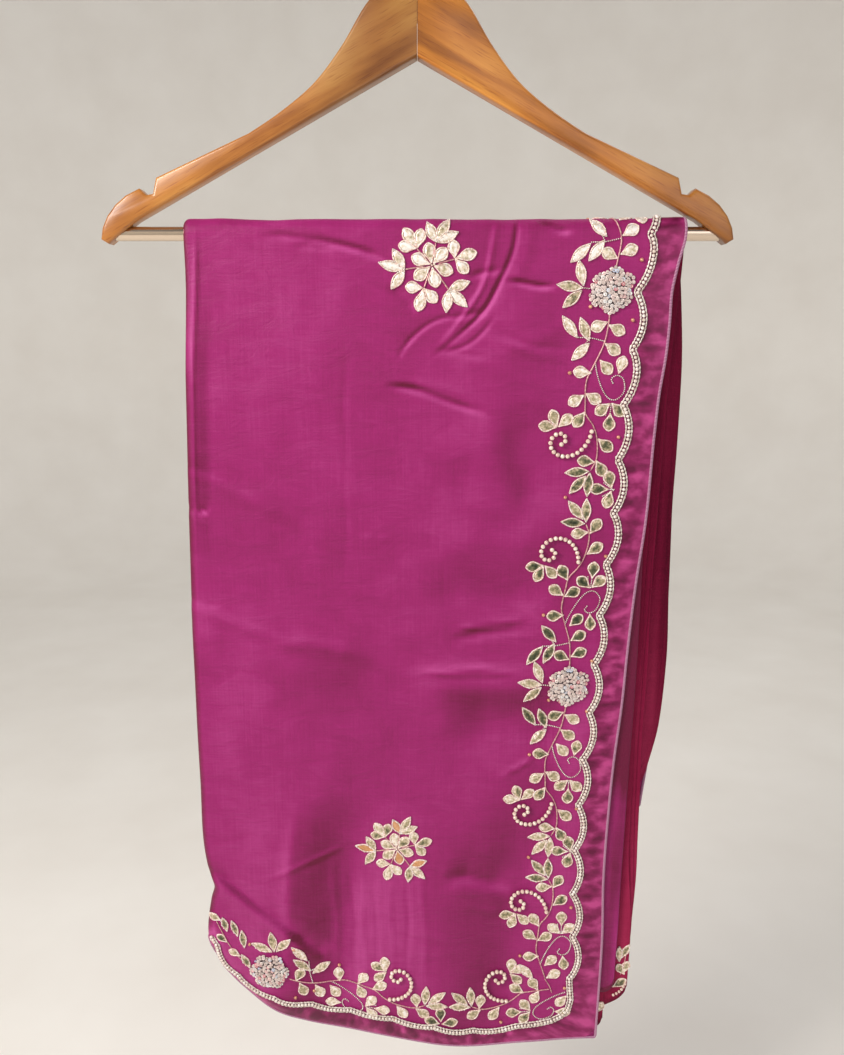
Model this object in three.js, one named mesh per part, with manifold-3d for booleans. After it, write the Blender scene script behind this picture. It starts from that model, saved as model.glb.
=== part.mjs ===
// A silk saree with gota-patti embroidery, folded into a long band and hung over the bar of a
// wooden hanger. Millimetres, +Z up, +X to the right as seen from the front, and the front of the
// hung cloth looks along -Y. The origin is the inside top of the hook, where a rail carries the
// whole thing.
//
// The saree is folded in half four times, hems together, and laid over the bar: a long front fall
// and a shorter back fall. The layer that shows is the outermost one. Its end border runs down the
// right-hand edge, over the bar and down the back, and its long-edge border crosses both hems.

import * as THREE from 'three';
import * as BufferGeometryUtils from 'three/addons/utils/BufferGeometryUtils.js';
import Module from 'manifold-3d';

const wasm = await Module();
wasm.setup();

// ---------------------------------------------------------------- driving dimensions

const GAP = 0.3; // between pieces that touch on the real thing
const LAYER_GAP = 0.55; // between layers of cloth that hang loosely on each other

const HANGER_WIDTH = 430;
const WOOD_THICKNESS = 14;
const WOOD_BEVEL = 2;
const WOOD_TOP = -62; // top of the wood, below the inside top of the hook
const WOOD_HEIGHT_OVER_BAR = 158; // top of the wood above the bar's centre line
const BAR_Z = WOOD_TOP - WOOD_HEIGHT_OVER_BAR;
const BAR_RADIUS = 4.75;
const BAR_LENGTH = 412;
const HOOK_WIRE = 4; // diameter
const HOOK_INNER_RADIUS = 19;
const HOOK_STEM_DEPTH = 26; // how far the stem is screwed into the wood

const CROWN_RADIUS = 9.3; // outside of the whole stack where it bends over the bar
const OUTER_WALL = 2; // outer layer over the bar
const HANGING_WALL = 1.5; // outer layer below the bar
const LOOSEN_DEPTH = 110; // depth below the bar at which the stack has opened to its loose thickness
const FRONT_FACE = 14.5; // front face of the hanging stack, from the bar's plane
const BACK_FACE = 13.4;
const HIDDEN_FACE = 9.1; // outer face of the hidden layers once they hang loose
const HIDDEN_INNER = 4.9; // inner face of the hidden layers
const ROLL_RADIUS = 5.7; // rolled fold along the left-hand edge
const CROWN_ROLL = 4.2; // and the same fold over the bar
const ROLL_TUCK = 22; // how far the outer layer runs back behind the hidden layers

const HEM_CURL_REACH = 34; // how far up from a hem its curl reaches
const FRONT_CURL = 6.5; // how far the front hem curls back at its left-hand corner
const BACK_CURL = 2;
const RIBS = 3; // rounded folds that show on the hidden layers' edges
const RIB_GROOVE = 1.9; // depth of the groove between two of them
const STAGGER = 4; // how much higher the innermost fold ends than the outermost
const SHOWN_FOLD_LEFT = -152; // hidden left-hand end of the folds that show

const FACING_WIDTH = 18; // hem facing between the piping and the bead line
const FACING_WALL = 0.5;
const FACING_LIFT = 0.4; // clear of the panel under it
const PIPING_WIDTH = 2;
const SCALLOP_PERIOD = 38.2;
const SCALLOP_CUSP = 23.5; // inset of the bead line at its inward cusps
const HEM_CUSP = 21.5; // and the same along a hem, from its edge
const SCALLOP_HEIGHT = 6.3;
const SCALLOP_STEPS = 4; // straight steps in one scallop
const BEAD_LINE_WIDTH = 5.6;
const CORNER_REACH = 56; // the corner's turn starts and ends this far from it
const CORNER_STEPS = 7;
const CORNER_ROUNDING = 3; // how far the corner's turn stands out of a plain ellipse
const HEM_SCALLOP = 0.6; // height of a scallop along a hem, as a share of one down the side
const BEAD_LINE_HEIGHT = 1.6;
const BEAD_LIFT = 0.5; // clear of the facing beside it
const VINE_REPEAT = 286; // from one sequin flower to the next
const FIRST_FLOWER = 52.3; // path length from the crown line to the first flower on the front
const FLOWER_INSET = 40.6;
const FLOWER_RADIUS = 13.6;
const FLOWER_HEIGHT = 2.2;
const STEM_WIDTH = 1.2;
const STEM_HEIGHT = 0.6;
const STEM_LIFT = 0.45; // stems pass through the petals, just above their undersides
const PETAL_ROOT = 2; // how far a petal reaches back over its stem
const PETAL_WIDTH = 6;
const SPRIG_LENGTH = 122;
const PETAL_LENGTH = 11;
const BUTA_PETAL = 13; // length of a buta's petals
const BUTA_STALK = 17.5; // from a buta's middle to the foot of a sprig
const EMBROIDERY_LIFT = 0.4; // clear of the cloth under it
const EMBROIDERY_HEIGHT = 1;
const CROWN_CLEAR = 1.5; // extra lift of a motif that bends over the bar

// The finished edges of the front fall: depth below the bar's centre, right edge, left fold.
const FRONT_EDGES = [
  { depth: 0, right: 181, left: -160.5 },
  { depth: 60, right: 172.5, left: -161 },
  { depth: 120, right: 166, left: -162.5 },
  { depth: 200, right: 162, left: -165 },
  { depth: 300, right: 153.5, left: -167 },
  { depth: 400, right: 147, left: -167.5 },
  { depth: 466, right: 144.5, left: -166.5 },
  { depth: 491, right: 144.2, left: -160.5 },
  { depth: 526, right: 145.2, left: -168 },
  { depth: 640, right: 143.6, left: -168 },
];

// The front hem: how deep it hangs at each place across.
const FRONT_HEM = [
  { x: -174, depth: 533 },
  { x: -166, depth: 543 },
  { x: -144, depth: 581 },
  { x: -120, depth: 604 },
  { x: -92, depth: 616 },
  { x: -51, depth: 625 },
  { x: 0, depth: 634 },
  { x: 30, depth: 637 },
  { x: 90, depth: 632 },
  { x: 146, depth: 628 },
];

// The back fall, seen from the front through the cloth.
const BACK_EDGES = [
  { depth: 0, right: 181, left: -160 },
  { depth: 40, right: 185, left: -160 },
  { depth: 210, right: 188, left: -161 },
  { depth: 260, right: 189.5, left: -162 },
  { depth: 360, right: 187, left: -163 },
  { depth: 400, right: 183, left: -163 },
  { depth: 425, right: 178, left: -163 },
  { depth: 460, right: 176, left: -162 },
];
const BACK_HEM = [
  { x: -170, depth: 436 },
  { x: -120, depth: 447 },
  { x: -40, depth: 450 },
  { x: 60, depth: 447 },
  { x: 140, depth: 441 },
  { x: 190, depth: 434 },
];

// The hidden layers' right edges and hems, front and back.
const HIDDEN_FRONT_EDGES = [
  { depth: 0, right: 180.4, left: -156 },
  { depth: 60, right: 178, left: -156 },
  { depth: 120, right: 175, left: -157 },
  { depth: 300, right: 172, left: -160 },
  { depth: 460, right: 171, left: -158 },
  { depth: 491, right: 171.5, left: -154 },
  { depth: 610, right: 168, left: -154 },
];
const HIDDEN_FRONT_HEM = [
  { x: -160, depth: 520 },
  { x: -144, depth: 560 },
  { x: -120, depth: 588 },
  { x: 0, depth: 600 },
  { x: 150, depth: 604 },
  { x: 172, depth: 594 },
];
const HIDDEN_BACK_EDGES = [
  { depth: 0, right: 180.4, left: -155 },
  { depth: 40, right: 183, left: -155 },
  { depth: 260, right: 186, left: -157 },
  { depth: 370, right: 182, left: -158 },
  { depth: 440, right: 172, left: -157 },
];
const HIDDEN_BACK_HEM = [
  { x: -160, depth: 418 },
  { x: 0, depth: 432 },
  { x: 190, depth: 420 },
];

// Two folded layers that show between the outer layer and the hidden ones: where they start, how
// deep they hang, and their right edges at the top, the middle and the bottom.
const SHOWN_FOLDS = [
  { name: 'second_fold_front', top: 86, bottom: 588, right: [160, 163.5, 157] },
  { name: 'third_fold_front', top: 86, bottom: 622, right: [158, 152, 150.5] },
];

// The largest folds of the cloth, as soft ridges and troughs: one end, the other end, half width,
// and how far the cloth stands out.
const FRONT_FOLDS = [
  { x0: 66, d0: 4, x1: 22, d1: 78, width: 22, out: -0.9 },
  { x0: 92, d0: 10, x1: 62, d1: 120, width: 26, out: 1 },
  { x0: -166, d0: 252, x1: -48, d1: 300, width: 26, out: 1 },
  { x0: 8, d0: 300, x1: 78, d1: 318, width: 26, out: 1.2 },
  { x0: 20, d0: 352, x1: 82, d1: 374, width: 28, out: -1.1 },
  { x0: -66, d0: 418, x1: -72, d1: 560, width: 30, out: -1.4 },
  { x0: -100, d0: 330, x1: -116, d1: 520, width: 38, out: 1.3 },
  { x0: 24, d0: 470, x1: 30, d1: 640, width: 30, out: 1.3 },
  { x0: 78, d0: 450, x1: 84, d1: 600, width: 28, out: -1 },
  { x0: -158, d0: 484, x1: -96, d1: 544, width: 22, out: -1.1 },
];
const BACK_FOLDS = [
  { x0: -40, d0: 10, x1: 12, d1: 120, width: 22, out: 1.2 },
  { x0: 60, d0: 60, x1: 40, d1: 240, width: 26, out: -1.3 },
  { x0: -110, d0: 120, x1: -90, d1: 420, width: 30, out: 1.4 },
  { x0: -30, d0: 230, x1: -20, d1: 440, width: 26, out: -1.4 },
  { x0: 70, d0: 280, x1: 90, d1: 440, width: 26, out: 1.3 },
];

const SILK = { color: 0xac3a75, roughness: 0.52, metalness: 0 };
const SILK_SHADE = { color: 0x832452, roughness: 0.58, metalness: 0 };
const FACING = { color: 0x9c3368, roughness: 0.5, metalness: 0 };
const PIPING = { color: 0xa8668f, roughness: 0.6, metalness: 0 };
const BEADS = { color: 0xd9cdb8, roughness: 0.3, metalness: 0.4 };
const GOTA = { color: 0xb5ab74, roughness: 0.4, metalness: 0.7 };
const SEQUIN = { color: 0xd8d0c8, roughness: 0.25, metalness: 0.6 };
const WOOD_LIGHT = { color: 0xc0803a, roughness: 0.35, metalness: 0 };
const WOOD_DARK = { color: 0xa9692a, roughness: 0.35, metalness: 0 };
const STEEL = { color: 0xc9c6c2, roughness: 0.22, metalness: 1 };

// ---------------------------------------------------------------- small helpers

const saree = new THREE.Group();

function addPiece(name, geometry, finish) {
  const piece = new THREE.Mesh(geometry, new THREE.MeshStandardMaterial(finish));
  piece.name = name;
  saree.add(piece);
}

function mix(a, b, share) {
  return a + (b - a) * share;
}

function smooth(share) {
  const s = Math.min(1, Math.max(0, share));
  return s * s * (3 - 2 * s);
}

// Straight-line reading of a table: the row column that holds the place, and the one wanted.
function read(table, at, place, wanted) {
  if (place <= table[0][at]) return table[0][wanted];
  for (let i = 1; i < table.length; i += 1) {
    const low = table[i - 1];
    const high = table[i];
    if (place <= high[at]) {
      return mix(low[wanted], high[wanted], (place - low[at]) / (high[at] - low[at]));
    }
  }
  return table[table.length - 1][wanted];
}

function signedVolume(positions, index) {
  const a = new THREE.Vector3();
  const b = new THREE.Vector3();
  const c = new THREE.Vector3();
  let volume = 0;
  for (let i = 0; i < index.length; i += 3) {
    a.fromArray(positions, index[i] * 3);
    b.fromArray(positions, index[i + 1] * 3);
    c.fromArray(positions, index[i + 2] * 3);
    volume += a.dot(b.cross(c)) / 6;
  }
  return volume;
}

// A closed geometry from points and triangles, turned so that its faces point out.
function closedGeometry(points, triangles) {
  const positions = points.flatMap((p) => [p.x, p.y, p.z]);
  const index = triangles.flat();
  if (signedVolume(positions, index) < 0) {
    for (let i = 0; i < index.length; i += 3) {
      [index[i], index[i + 1]] = [index[i + 1], index[i]];
    }
  }
  const geometry = new THREE.BufferGeometry();
  geometry.setAttribute('position', new THREE.Float32BufferAttribute(positions, 3));
  geometry.setIndex(index);
  return geometry;
}

// A block of columns x rows x levels cells with only its outside faces, each point set by
// place(column, row, level). Cloth walls, folded stacks, bands and cords are all such blocks.
function block(columns, rows, levels, place) {
  const points = [];
  const numbers = new Map();
  const number = (i, j, k) => {
    const key = `${i},${j},${k}`;
    if (!numbers.has(key)) {
      numbers.set(key, points.length);
      points.push(place(i, j, k));
    }
    return numbers.get(key);
  };
  const triangles = [];
  const quad = (a, b, c, d) => triangles.push([a, b, c], [a, c, d]);
  for (let i = 0; i < columns; i += 1) {
    for (let j = 0; j < rows; j += 1) {
      quad(number(i, j, 0), number(i, j + 1, 0), number(i + 1, j + 1, 0), number(i + 1, j, 0));
      quad(
        number(i, j, levels),
        number(i + 1, j, levels),
        number(i + 1, j + 1, levels),
        number(i, j + 1, levels),
      );
    }
    for (let k = 0; k < levels; k += 1) {
      quad(number(i, 0, k), number(i + 1, 0, k), number(i + 1, 0, k + 1), number(i, 0, k + 1));
      quad(number(i, rows, k), number(i, rows, k + 1), number(i + 1, rows, k + 1), number(i + 1, rows, k));
    }
  }
  for (let j = 0; j < rows; j += 1) {
    for (let k = 0; k < levels; k += 1) {
      quad(number(0, j, k), number(0, j, k + 1), number(0, j + 1, k + 1), number(0, j + 1, k));
      quad(
        number(columns, j, k),
        number(columns, j + 1, k),
        number(columns, j + 1, k + 1),
        number(columns, j, k + 1),
      );
    }
  }
  return closedGeometry(points, triangles);
}

function toManifold(geometry) {
  const bare = geometry.clone();
  bare.deleteAttribute('normal');
  bare.deleteAttribute('uv');
  const merged = BufferGeometryUtils.mergeVertices(bare, 1e-3);
  return new wasm.Manifold(new wasm.Mesh({
    numProp: 3,
    vertProperties: new Float32Array(merged.attributes.position.array),
    triVerts: new Uint32Array(merged.index.array),
  }));
}

function fromManifold(solid) {
  const mesh = solid.getMesh();
  const geometry = new THREE.BufferGeometry();
  geometry.setAttribute('position', new THREE.BufferAttribute(mesh.vertProperties, 3));
  geometry.setIndex(new THREE.BufferAttribute(mesh.triVerts, 1));
  return geometry;
}

function union(geometries) {
  return fromManifold(geometries.map(toManifold).reduce((joined, next) => joined.add(next)));
}

// ---------------------------------------------------------------- hanger

// One arm's outline on the left of the middle, heights from the bar's centre line.
function armOutline() {
  const past = 8; // runs past the middle, and is cut flush there
  const tip = HANGER_WIDTH / 2;
  const outline = new THREE.Shape();
  outline.moveTo(past, 110.3);
  outline.lineTo(0, 110.3);
  outline.lineTo(-190, 8);
  outline.lineTo(5 - tip, -7);
  outline.lineTo(-tip, -4);
  outline.bezierCurveTo(0.4 - tip, 8, -204, 23, -187.1, 28.8);
  outline.lineTo(-182.5, 24.6);
  outline.lineTo(-178, 25.4);
  outline.lineTo(-175.4, 35.6);
  outline.lineTo(-112, 63.5);
  outline.splineThru([
    new THREE.Vector2(-90.7, 76.7),
    new THREE.Vector2(-68, 94.4),
    new THREE.Vector2(-49.6, 116.5),
    new THREE.Vector2(-32.4, 142.5),
    new THREE.Vector2(-17, 154.5),
    new THREE.Vector2(0, WOOD_HEIGHT_OVER_BAR),
  ]);
  outline.lineTo(past, WOOD_HEIGHT_OVER_BAR);
  return outline;
}

function cylinderAlongX(radius, from, to, sides) {
  const rod = new THREE.CylinderGeometry(radius, radius, to - from, sides);
  rod.rotateZ(Math.PI / 2);
  rod.translate((from + to) / 2, 0, BAR_Z);
  return rod;
}

function armGeometry(mirror) {
  const arm = new THREE.ExtrudeGeometry(armOutline(), {
    depth: WOOD_THICKNESS - 2 * WOOD_BEVEL,
    bevelThickness: WOOD_BEVEL,
    bevelSize: WOOD_BEVEL,
    bevelOffset: -WOOD_BEVEL,
    bevelSegments: 2,
    curveSegments: 5,
    steps: 1,
  });
  arm.rotateX(Math.PI / 2);
  arm.translate(0, WOOD_THICKNESS / 2 - WOOD_BEVEL, BAR_Z);
  const middle = new THREE.BoxGeometry(60, 60, 300);
  middle.translate(30 - GAP / 2, 0, WOOD_TOP - 60);
  const barSocket = cylinderAlongX(BAR_RADIUS + GAP, -BAR_LENGTH / 2 - 0.5, 0, 16);
  const stemHole = new THREE.CylinderGeometry(HOOK_WIRE / 2 + GAP, HOOK_WIRE / 2 + GAP, 60, 12);
  stemHole.rotateX(Math.PI / 2);
  stemHole.translate(0, 0, WOOD_TOP - HOOK_STEM_DEPTH + 30 - GAP);
  const cut = toManifold(arm)
    .subtract(toManifold(middle))
    .subtract(toManifold(barSocket))
    .subtract(toManifold(stemHole));
  const geometry = fromManifold(cut);
  if (!mirror) return geometry;
  geometry.scale(-1, 1, 1);
  const index = geometry.index.array;
  for (let i = 0; i < index.length; i += 3) [index[i], index[i + 1]] = [index[i + 1], index[i]];
  return geometry;
}

// The hook's centre line: a stem out of the wood, a bend to one side, and most of a circle.
class HookLine extends THREE.Curve {
  constructor() {
    super();
    this.radius = HOOK_INNER_RADIUS + HOOK_WIRE / 2;
    this.centre = -HOOK_INNER_RADIUS;
    this.arcStart = THREE.MathUtils.degToRad(226);
    this.arcEnd = THREE.MathUtils.degToRad(-24);
    const start = this.onArc(this.arcStart);
    const lead = 15; // how far the bend runs straight on before the circle
    const heading = new THREE.Vector3(Math.sin(this.arcStart), 0, -Math.cos(this.arcStart));
    this.bend = new THREE.CubicBezierCurve3(
      new THREE.Vector3(0, 0, WOOD_TOP + 2),
      new THREE.Vector3(0, 0, WOOD_TOP + 12),
      start.clone().addScaledVector(heading, -lead),
      start,
    );
  }

  onArc(angle) {
    const rise = this.radius * Math.sin(angle);
    return new THREE.Vector3(this.radius * Math.cos(angle), 0, this.centre + rise);
  }

  getPoint(t) {
    const stemShare = 0.16;
    const bendShare = 0.36;
    if (t < stemShare) {
      return new THREE.Vector3(0, 0, mix(WOOD_TOP - HOOK_STEM_DEPTH, WOOD_TOP + 2, t / stemShare));
    }
    if (t < bendShare) {
      return this.bend.getPoint((t - stemShare) / (bendShare - stemShare));
    }
    return this.onArc(mix(this.arcStart, this.arcEnd, (t - bendShare) / (1 - bendShare)));
  }
}

function hookGeometry() {
  const wire = new THREE.Shape();
  wire.absarc(0, 0, HOOK_WIRE / 2, 0, Math.PI * 2);
  return new THREE.ExtrudeGeometry(wire, { extrudePath: new HookLine(), steps: 40, curveSegments: 4 });
}

addPiece('hanger_arm_left', armGeometry(false), WOOD_LIGHT);
addPiece('hanger_arm_right', armGeometry(true), WOOD_DARK);
addPiece('hanger_bar', cylinderAlongX(BAR_RADIUS, -BAR_LENGTH / 2, BAR_LENGTH / 2, 24), STEEL);
addPiece('hanger_hook', hookGeometry(), STEEL);

// ---------------------------------------------------------------- how the cloth hangs

// How far the cloth stands out at a place, from its table of folds: each is a soft ridge or trough
// along a line, widest in its middle and fading at both ends and near the bar.
function foldHeight(folds, x, depth) {
  let out = 0;
  for (const fold of folds) {
    const run = new THREE.Vector2(fold.x1 - fold.x0, fold.d1 - fold.d0);
    const length = run.length();
    run.divideScalar(length);
    const offset = new THREE.Vector2(x - fold.x0, depth - fold.d0);
    const along = offset.dot(run) / length;
    const across = offset.cross(run) / fold.width;
    const ends = smooth((along + 0.25) / 0.5) * smooth((1.25 - along) / 0.5);
    out += fold.out * Math.exp(-across * across) * ends;
  }
  return out * smooth((depth - 12) / 60);
}

const FRONT = { side: -1, folds: FRONT_FOLDS, edges: FRONT_EDGES, hem: FRONT_HEM };
const BACK = { side: 1, folds: BACK_FOLDS, edges: BACK_EDGES, hem: BACK_HEM };

// The hem of the front fall curls back a little, more towards its left-hand corner.
function hemCurl(fall, x, depth) {
  const amount = fall === FRONT ? mix(FRONT_CURL, 0, smooth((x + 100) / 210)) : BACK_CURL;
  const start = read(fall.hem, 'x', x, 'depth') - HEM_CURL_REACH;
  const share = Math.max(0, (depth - start) / HEM_CURL_REACH);
  return -amount * share * share;
}

// A point of a layer: over the bar by angle, and below the bar by depth, at a distance from the
// bar's plane that grows from crown (over the bar) to loose (once the stack has opened).
function overBar(fall, x, angle, radius) {
  return new THREE.Vector3(x, fall.side * radius * Math.sin(angle), BAR_Z + radius * Math.cos(angle));
}

function belowBar(fall, x, depth, crown, loose, curl = 0) {
  const stand = mix(crown, loose, smooth(depth / LOOSEN_DEPTH)) + curl;
  const bulge = foldHeight(fall.folds, x, depth);
  return new THREE.Vector3(x, fall.side * (stand + bulge), BAR_Z - depth);
}

const CROWN_ANGLES = [0, 30, 60, 90].map(THREE.MathUtils.degToRad);
const CROWN_SPLIT = THREE.MathUtils.radToDeg(GAP / 2 / CROWN_RADIUS);
CROWN_ANGLES[0] = THREE.MathUtils.degToRad(CROWN_SPLIT);
const CROWN_ROWS = CROWN_ANGLES.length - 1;
const QUARTER = CROWN_RADIUS * Math.PI / 2;

// ---------------------------------------------------------------- the outer layer

const FROM_RIGHT = [0, 11, 22, 34, 52, 74]; // columns that keep their distance to the right edge
const FROM_LEFT = [30, 15, 0]; // and to the rolled fold
const ROLL_STEPS = 5; // columns round the roll
const TUCK_STEPS = 1;

function panelColumns(middle) {
  const columns = FROM_RIGHT.map((inset) => ({ share: 0, shift: -inset }));
  const lastRight = -FROM_RIGHT[FROM_RIGHT.length - 1];
  for (let i = 1; i < middle; i += 1) {
    columns.push({ share: i / middle, shift: mix(lastRight, FROM_LEFT[0], i / middle) });
  }
  for (const inset of FROM_LEFT) columns.push({ share: 1, shift: inset });
  return columns;
}

// The outer layer on one side: a grid of points on its outer face and on its inner face.
function makePanel(fall, face, middle, rowCount) {
  const columns = panelColumns(middle);
  const flat = columns.length;
  const across = flat + ROLL_STEPS + TUCK_STEPS;
  const down = CROWN_ROWS + rowCount;
  const rollLeft = (depth) => read(fall.edges, 'depth', depth, 'left') + ROLL_RADIUS;

  const columnX = (i, depth) => {
    const right = read(fall.edges, 'depth', depth, 'right');
    const column = columns[Math.min(i, flat - 1)];
    return mix(right, rollLeft(depth), column.share) + column.shift;
  };
  // A column hangs as deep as the hem under it. Round the roll it follows the corner.
  const columnDepth = (i) => {
    let depth = fall.hem[0].depth + 60;
    for (let pass = 0; pass < 12; pass += 1) depth = read(fall.hem, 'x', columnX(i, depth), 'depth');
    const turned = Math.max(0, i - flat + 1) / (ROLL_STEPS + TUCK_STEPS);
    return depth - 14 * turned;
  };
  const depths = Array.from({ length: across }, (unused, i) => columnDepth(i));

  const flatPoint = (i, j, inner) => {
    if (j < CROWN_ROWS) {
      const radius = inner ? CROWN_RADIUS - OUTER_WALL : CROWN_RADIUS;
      return overBar(fall, columnX(i, 0), CROWN_ANGLES[j], radius);
    }
    const depth = depths[i] * (j - CROWN_ROWS) / rowCount;
    const x = columnX(i, depth);
    const crown = inner ? CROWN_RADIUS - OUTER_WALL : CROWN_RADIUS;
    const loose = inner ? face - HANGING_WALL : face;
    return belowBar(fall, x, depth, crown, loose, hemCurl(fall, x, depth));
  };
  // Round the roll, the layer turns half round about the middle of the stack and runs back a
  // little behind it. Over the bar there is room only for a quarter turn.
  const rollPoint = (i, j, inner) => {
    const step = i - flat + 1;
    const quarterTurn = step / (ROLL_STEPS + TUCK_STEPS) * Math.PI / 2;
    if (j < CROWN_ROWS) {
      const roll = inner ? CROWN_ROLL - OUTER_WALL : CROWN_ROLL;
      const radius = CROWN_RADIUS - CROWN_ROLL + roll * Math.cos(quarterTurn);
      return overBar(fall, columnX(i, 0) - roll * Math.sin(quarterTurn), CROWN_ANGLES[j], radius);
    }
    const depth = depths[i] * (j - CROWN_ROWS) / rowCount;
    const open = smooth((depth - 4) / 40);
    const turn = mix(quarterTurn, Math.min(step, ROLL_STEPS) / ROLL_STEPS * Math.PI, open);
    const outerFace = mix(CROWN_RADIUS, face, smooth(depth / LOOSEN_DEPTH));
    const wall = mix(OUTER_WALL, HANGING_WALL, smooth(depth / LOOSEN_DEPTH));
    const tuckFace = HIDDEN_INNER - LAYER_GAP - HANGING_WALL;
    const outerRoll = mix(CROWN_ROLL, (outerFace - tuckFace) / 2, open);
    const roll = inner ? outerRoll - wall : outerRoll;
    const tuck = step > ROLL_STEPS ? ROLL_TUCK * smooth((depth - 24) / 40) : 0;
    const fold = columnX(i, depth);
    const x = fold - Math.min(roll, ROLL_RADIUS) * Math.sin(turn) + tuck;
    const bulge = foldHeight(fall.folds, fold, depth) + hemCurl(fall, fold, depth);
    const stand = outerFace - outerRoll + roll * Math.cos(turn) + bulge;
    return new THREE.Vector3(x, fall.side * stand, BAR_Z - depth);
  };
  const point = (i, j, inner) => (i < flat ? flatPoint(i, j, inner) : rollPoint(i, j, inner));

  const outer = [];
  for (let i = 0; i < across; i += 1) {
    outer.push(Array.from({ length: down + 1 }, (unused, j) => point(i, j, false)));
  }
  const panel = { fall, outer, columnX, depths, flat, across, down, rowCount, point };
  panel.geometry = block(across - 1, down, 1, (i, j, k) => point(i, j, k === 0));
  return panel;
}

// The place on a panel's outer face at x and a path length from the crown line, moved out by lift.
function onPanel(panel, x, path, lift) {
  const depth = Math.max(0, path - QUARTER);
  let i = 0;
  while (i < panel.flat - 2 && panel.columnX(i + 1, depth) > x) i += 1;
  const xa = panel.columnX(i, depth);
  const xb = panel.columnX(i + 1, depth);
  const u = Math.min(1.2, Math.max(-0.2, (xa - x) / (xa - xb)));
  let row = CROWN_ROWS * path / QUARTER;
  if (path > QUARTER) {
    row = CROWN_ROWS + depth / mix(panel.depths[i], panel.depths[i + 1], u) * panel.rowCount;
  }
  const j = Math.min(panel.down - 1, Math.max(0, Math.floor(row)));
  const v = row - j;
  const a = panel.outer[i][j];
  const b = panel.outer[i][j + 1];
  const c = panel.outer[i + 1][j + 1];
  const d = panel.outer[i + 1][j];
  const place = new THREE.Vector3();
  if (u <= v) {
    place.copy(a).multiplyScalar(1 - v).addScaledVector(b, v - u).addScaledVector(c, u);
  } else {
    place.copy(a).multiplyScalar(1 - u).addScaledVector(d, u - v).addScaledVector(c, v);
  }
  return place.addScaledVector(outwards(panel, path), lift);
}

function outwards(panel, path) {
  const angle = Math.min(Math.PI / 2, Math.max(0, path / CROWN_RADIUS));
  return new THREE.Vector3(0, panel.fall.side * Math.sin(angle), Math.cos(angle));
}

const frontPanel = makePanel(FRONT, FRONT_FACE, 8, 24);
const backPanel = makePanel(BACK, BACK_FACE, 6, 16);
addPiece('outer_layer_front', frontPanel.geometry, SILK);
addPiece('outer_layer_back', backPanel.geometry, SILK);

// ---------------------------------------------------------------- the folded layers behind it

// The hidden layers on one side share one solid. Its right edge and its hem show the rounded
// edges of the folds as ribs, with a groove between one fold and the next.
function hiddenStack(fall, edges, hem, columns, rowCount) {
  const levels = RIBS * 2;
  return block(columns, CROWN_ROWS + rowCount, levels, (i, j, k) => {
    const thickness = k / levels;
    const rib = k % 2 === 1 ? 0 : RIB_GROOVE;
    const share = i / columns;
    const edgeX = (depth) => {
      const right = read(edges, 'depth', depth, 'right');
      const left = read(edges, 'depth', depth, 'left');
      const x = mix(right, left, share);
      if (i === 0) return x - rib;
      return i === columns ? x + rib : x;
    };
    if (j < CROWN_ROWS) {
      const radius = mix(BAR_RADIUS + GAP, CROWN_RADIUS - OUTER_WALL - GAP, thickness);
      return overBar(fall, edgeX(0), CROWN_ANGLES[j], radius);
    }
    let full = 500;
    for (let pass = 0; pass < 12; pass += 1) full = read(hem, 'x', edgeX(full), 'depth');
    const ribDrop = k === levels ? RIB_GROOVE : rib + STAGGER * (1 - thickness);
    const atHem = j === CROWN_ROWS + rowCount;
    const depth = (j - CROWN_ROWS) / rowCount * full - (atHem ? ribDrop : 0);
    const crown = mix(BAR_RADIUS + GAP, CROWN_RADIUS - OUTER_WALL - GAP, thickness);
    const loose = mix(HIDDEN_INNER, HIDDEN_FACE, thickness);
    return belowBar(fall, edgeX(depth), depth, crown, loose);
  });
}

const hiddenFront = hiddenStack(FRONT, HIDDEN_FRONT_EDGES, HIDDEN_FRONT_HEM, 8, 20);
const hiddenBack = hiddenStack(BACK, HIDDEN_BACK_EDGES, HIDDEN_BACK_HEM, 7, 14);
addPiece('hidden_layers_front', hiddenFront, SILK_SHADE);
addPiece('hidden_layers_back', hiddenBack, SILK_SHADE);

// A shown fold fills its share of the room between the outer layer and the hidden ones.
function shownFold(fall, fold, face, order, count, columns, rowCount) {
  return block(columns, rowCount, 1, (i, j, k) => {
    const depth = mix(fold.top, fold.bottom, j / rowCount);
    const [rightTop, rightMiddle, rightBottom] = fold.right;
    const share = (depth - fold.top) / (fold.bottom - fold.top);
    const right = share < 0.5
      ? mix(rightTop, rightMiddle, share * 2)
      : mix(rightMiddle, rightBottom, share * 2 - 1);
    const x = mix(right, SHOWN_FOLD_LEFT, i / columns);
    const hemClear = mix(42, 5, smooth((x + 100) / 210)); // shorter than the outer hem by this
    const hemLimit = read(fall.hem, 'x', x, 'depth') - hemClear;
    const place = Math.min(depth, mix(fold.top, hemLimit, j / rowCount));
    const open = smooth(place / LOOSEN_DEPTH);
    const outerInside = mix(CROWN_RADIUS - OUTER_WALL, face - HANGING_WALL, open);
    const hiddenOutside = mix(CROWN_RADIUS - OUTER_WALL - GAP, HIDDEN_FACE, open);
    const wall = (outerInside - hiddenOutside - (count + 1) * LAYER_GAP) / count;
    const inside = hiddenOutside + LAYER_GAP + (count - 1 - order) * (wall + LAYER_GAP);
    const stand = inside + k * wall + foldHeight(fall.folds, x, place);
    return new THREE.Vector3(x, fall.side * stand, BAR_Z - place);
  });
}

SHOWN_FOLDS.forEach((fold, order) => {
  const geometry = shownFold(FRONT, fold, FRONT_FACE, order, SHOWN_FOLDS.length, 8, 18);
  addPiece(fold.name, geometry, order === 0 ? FACING : SILK_SHADE);
});

// ---------------------------------------------------------------- hem facing and piping

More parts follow.
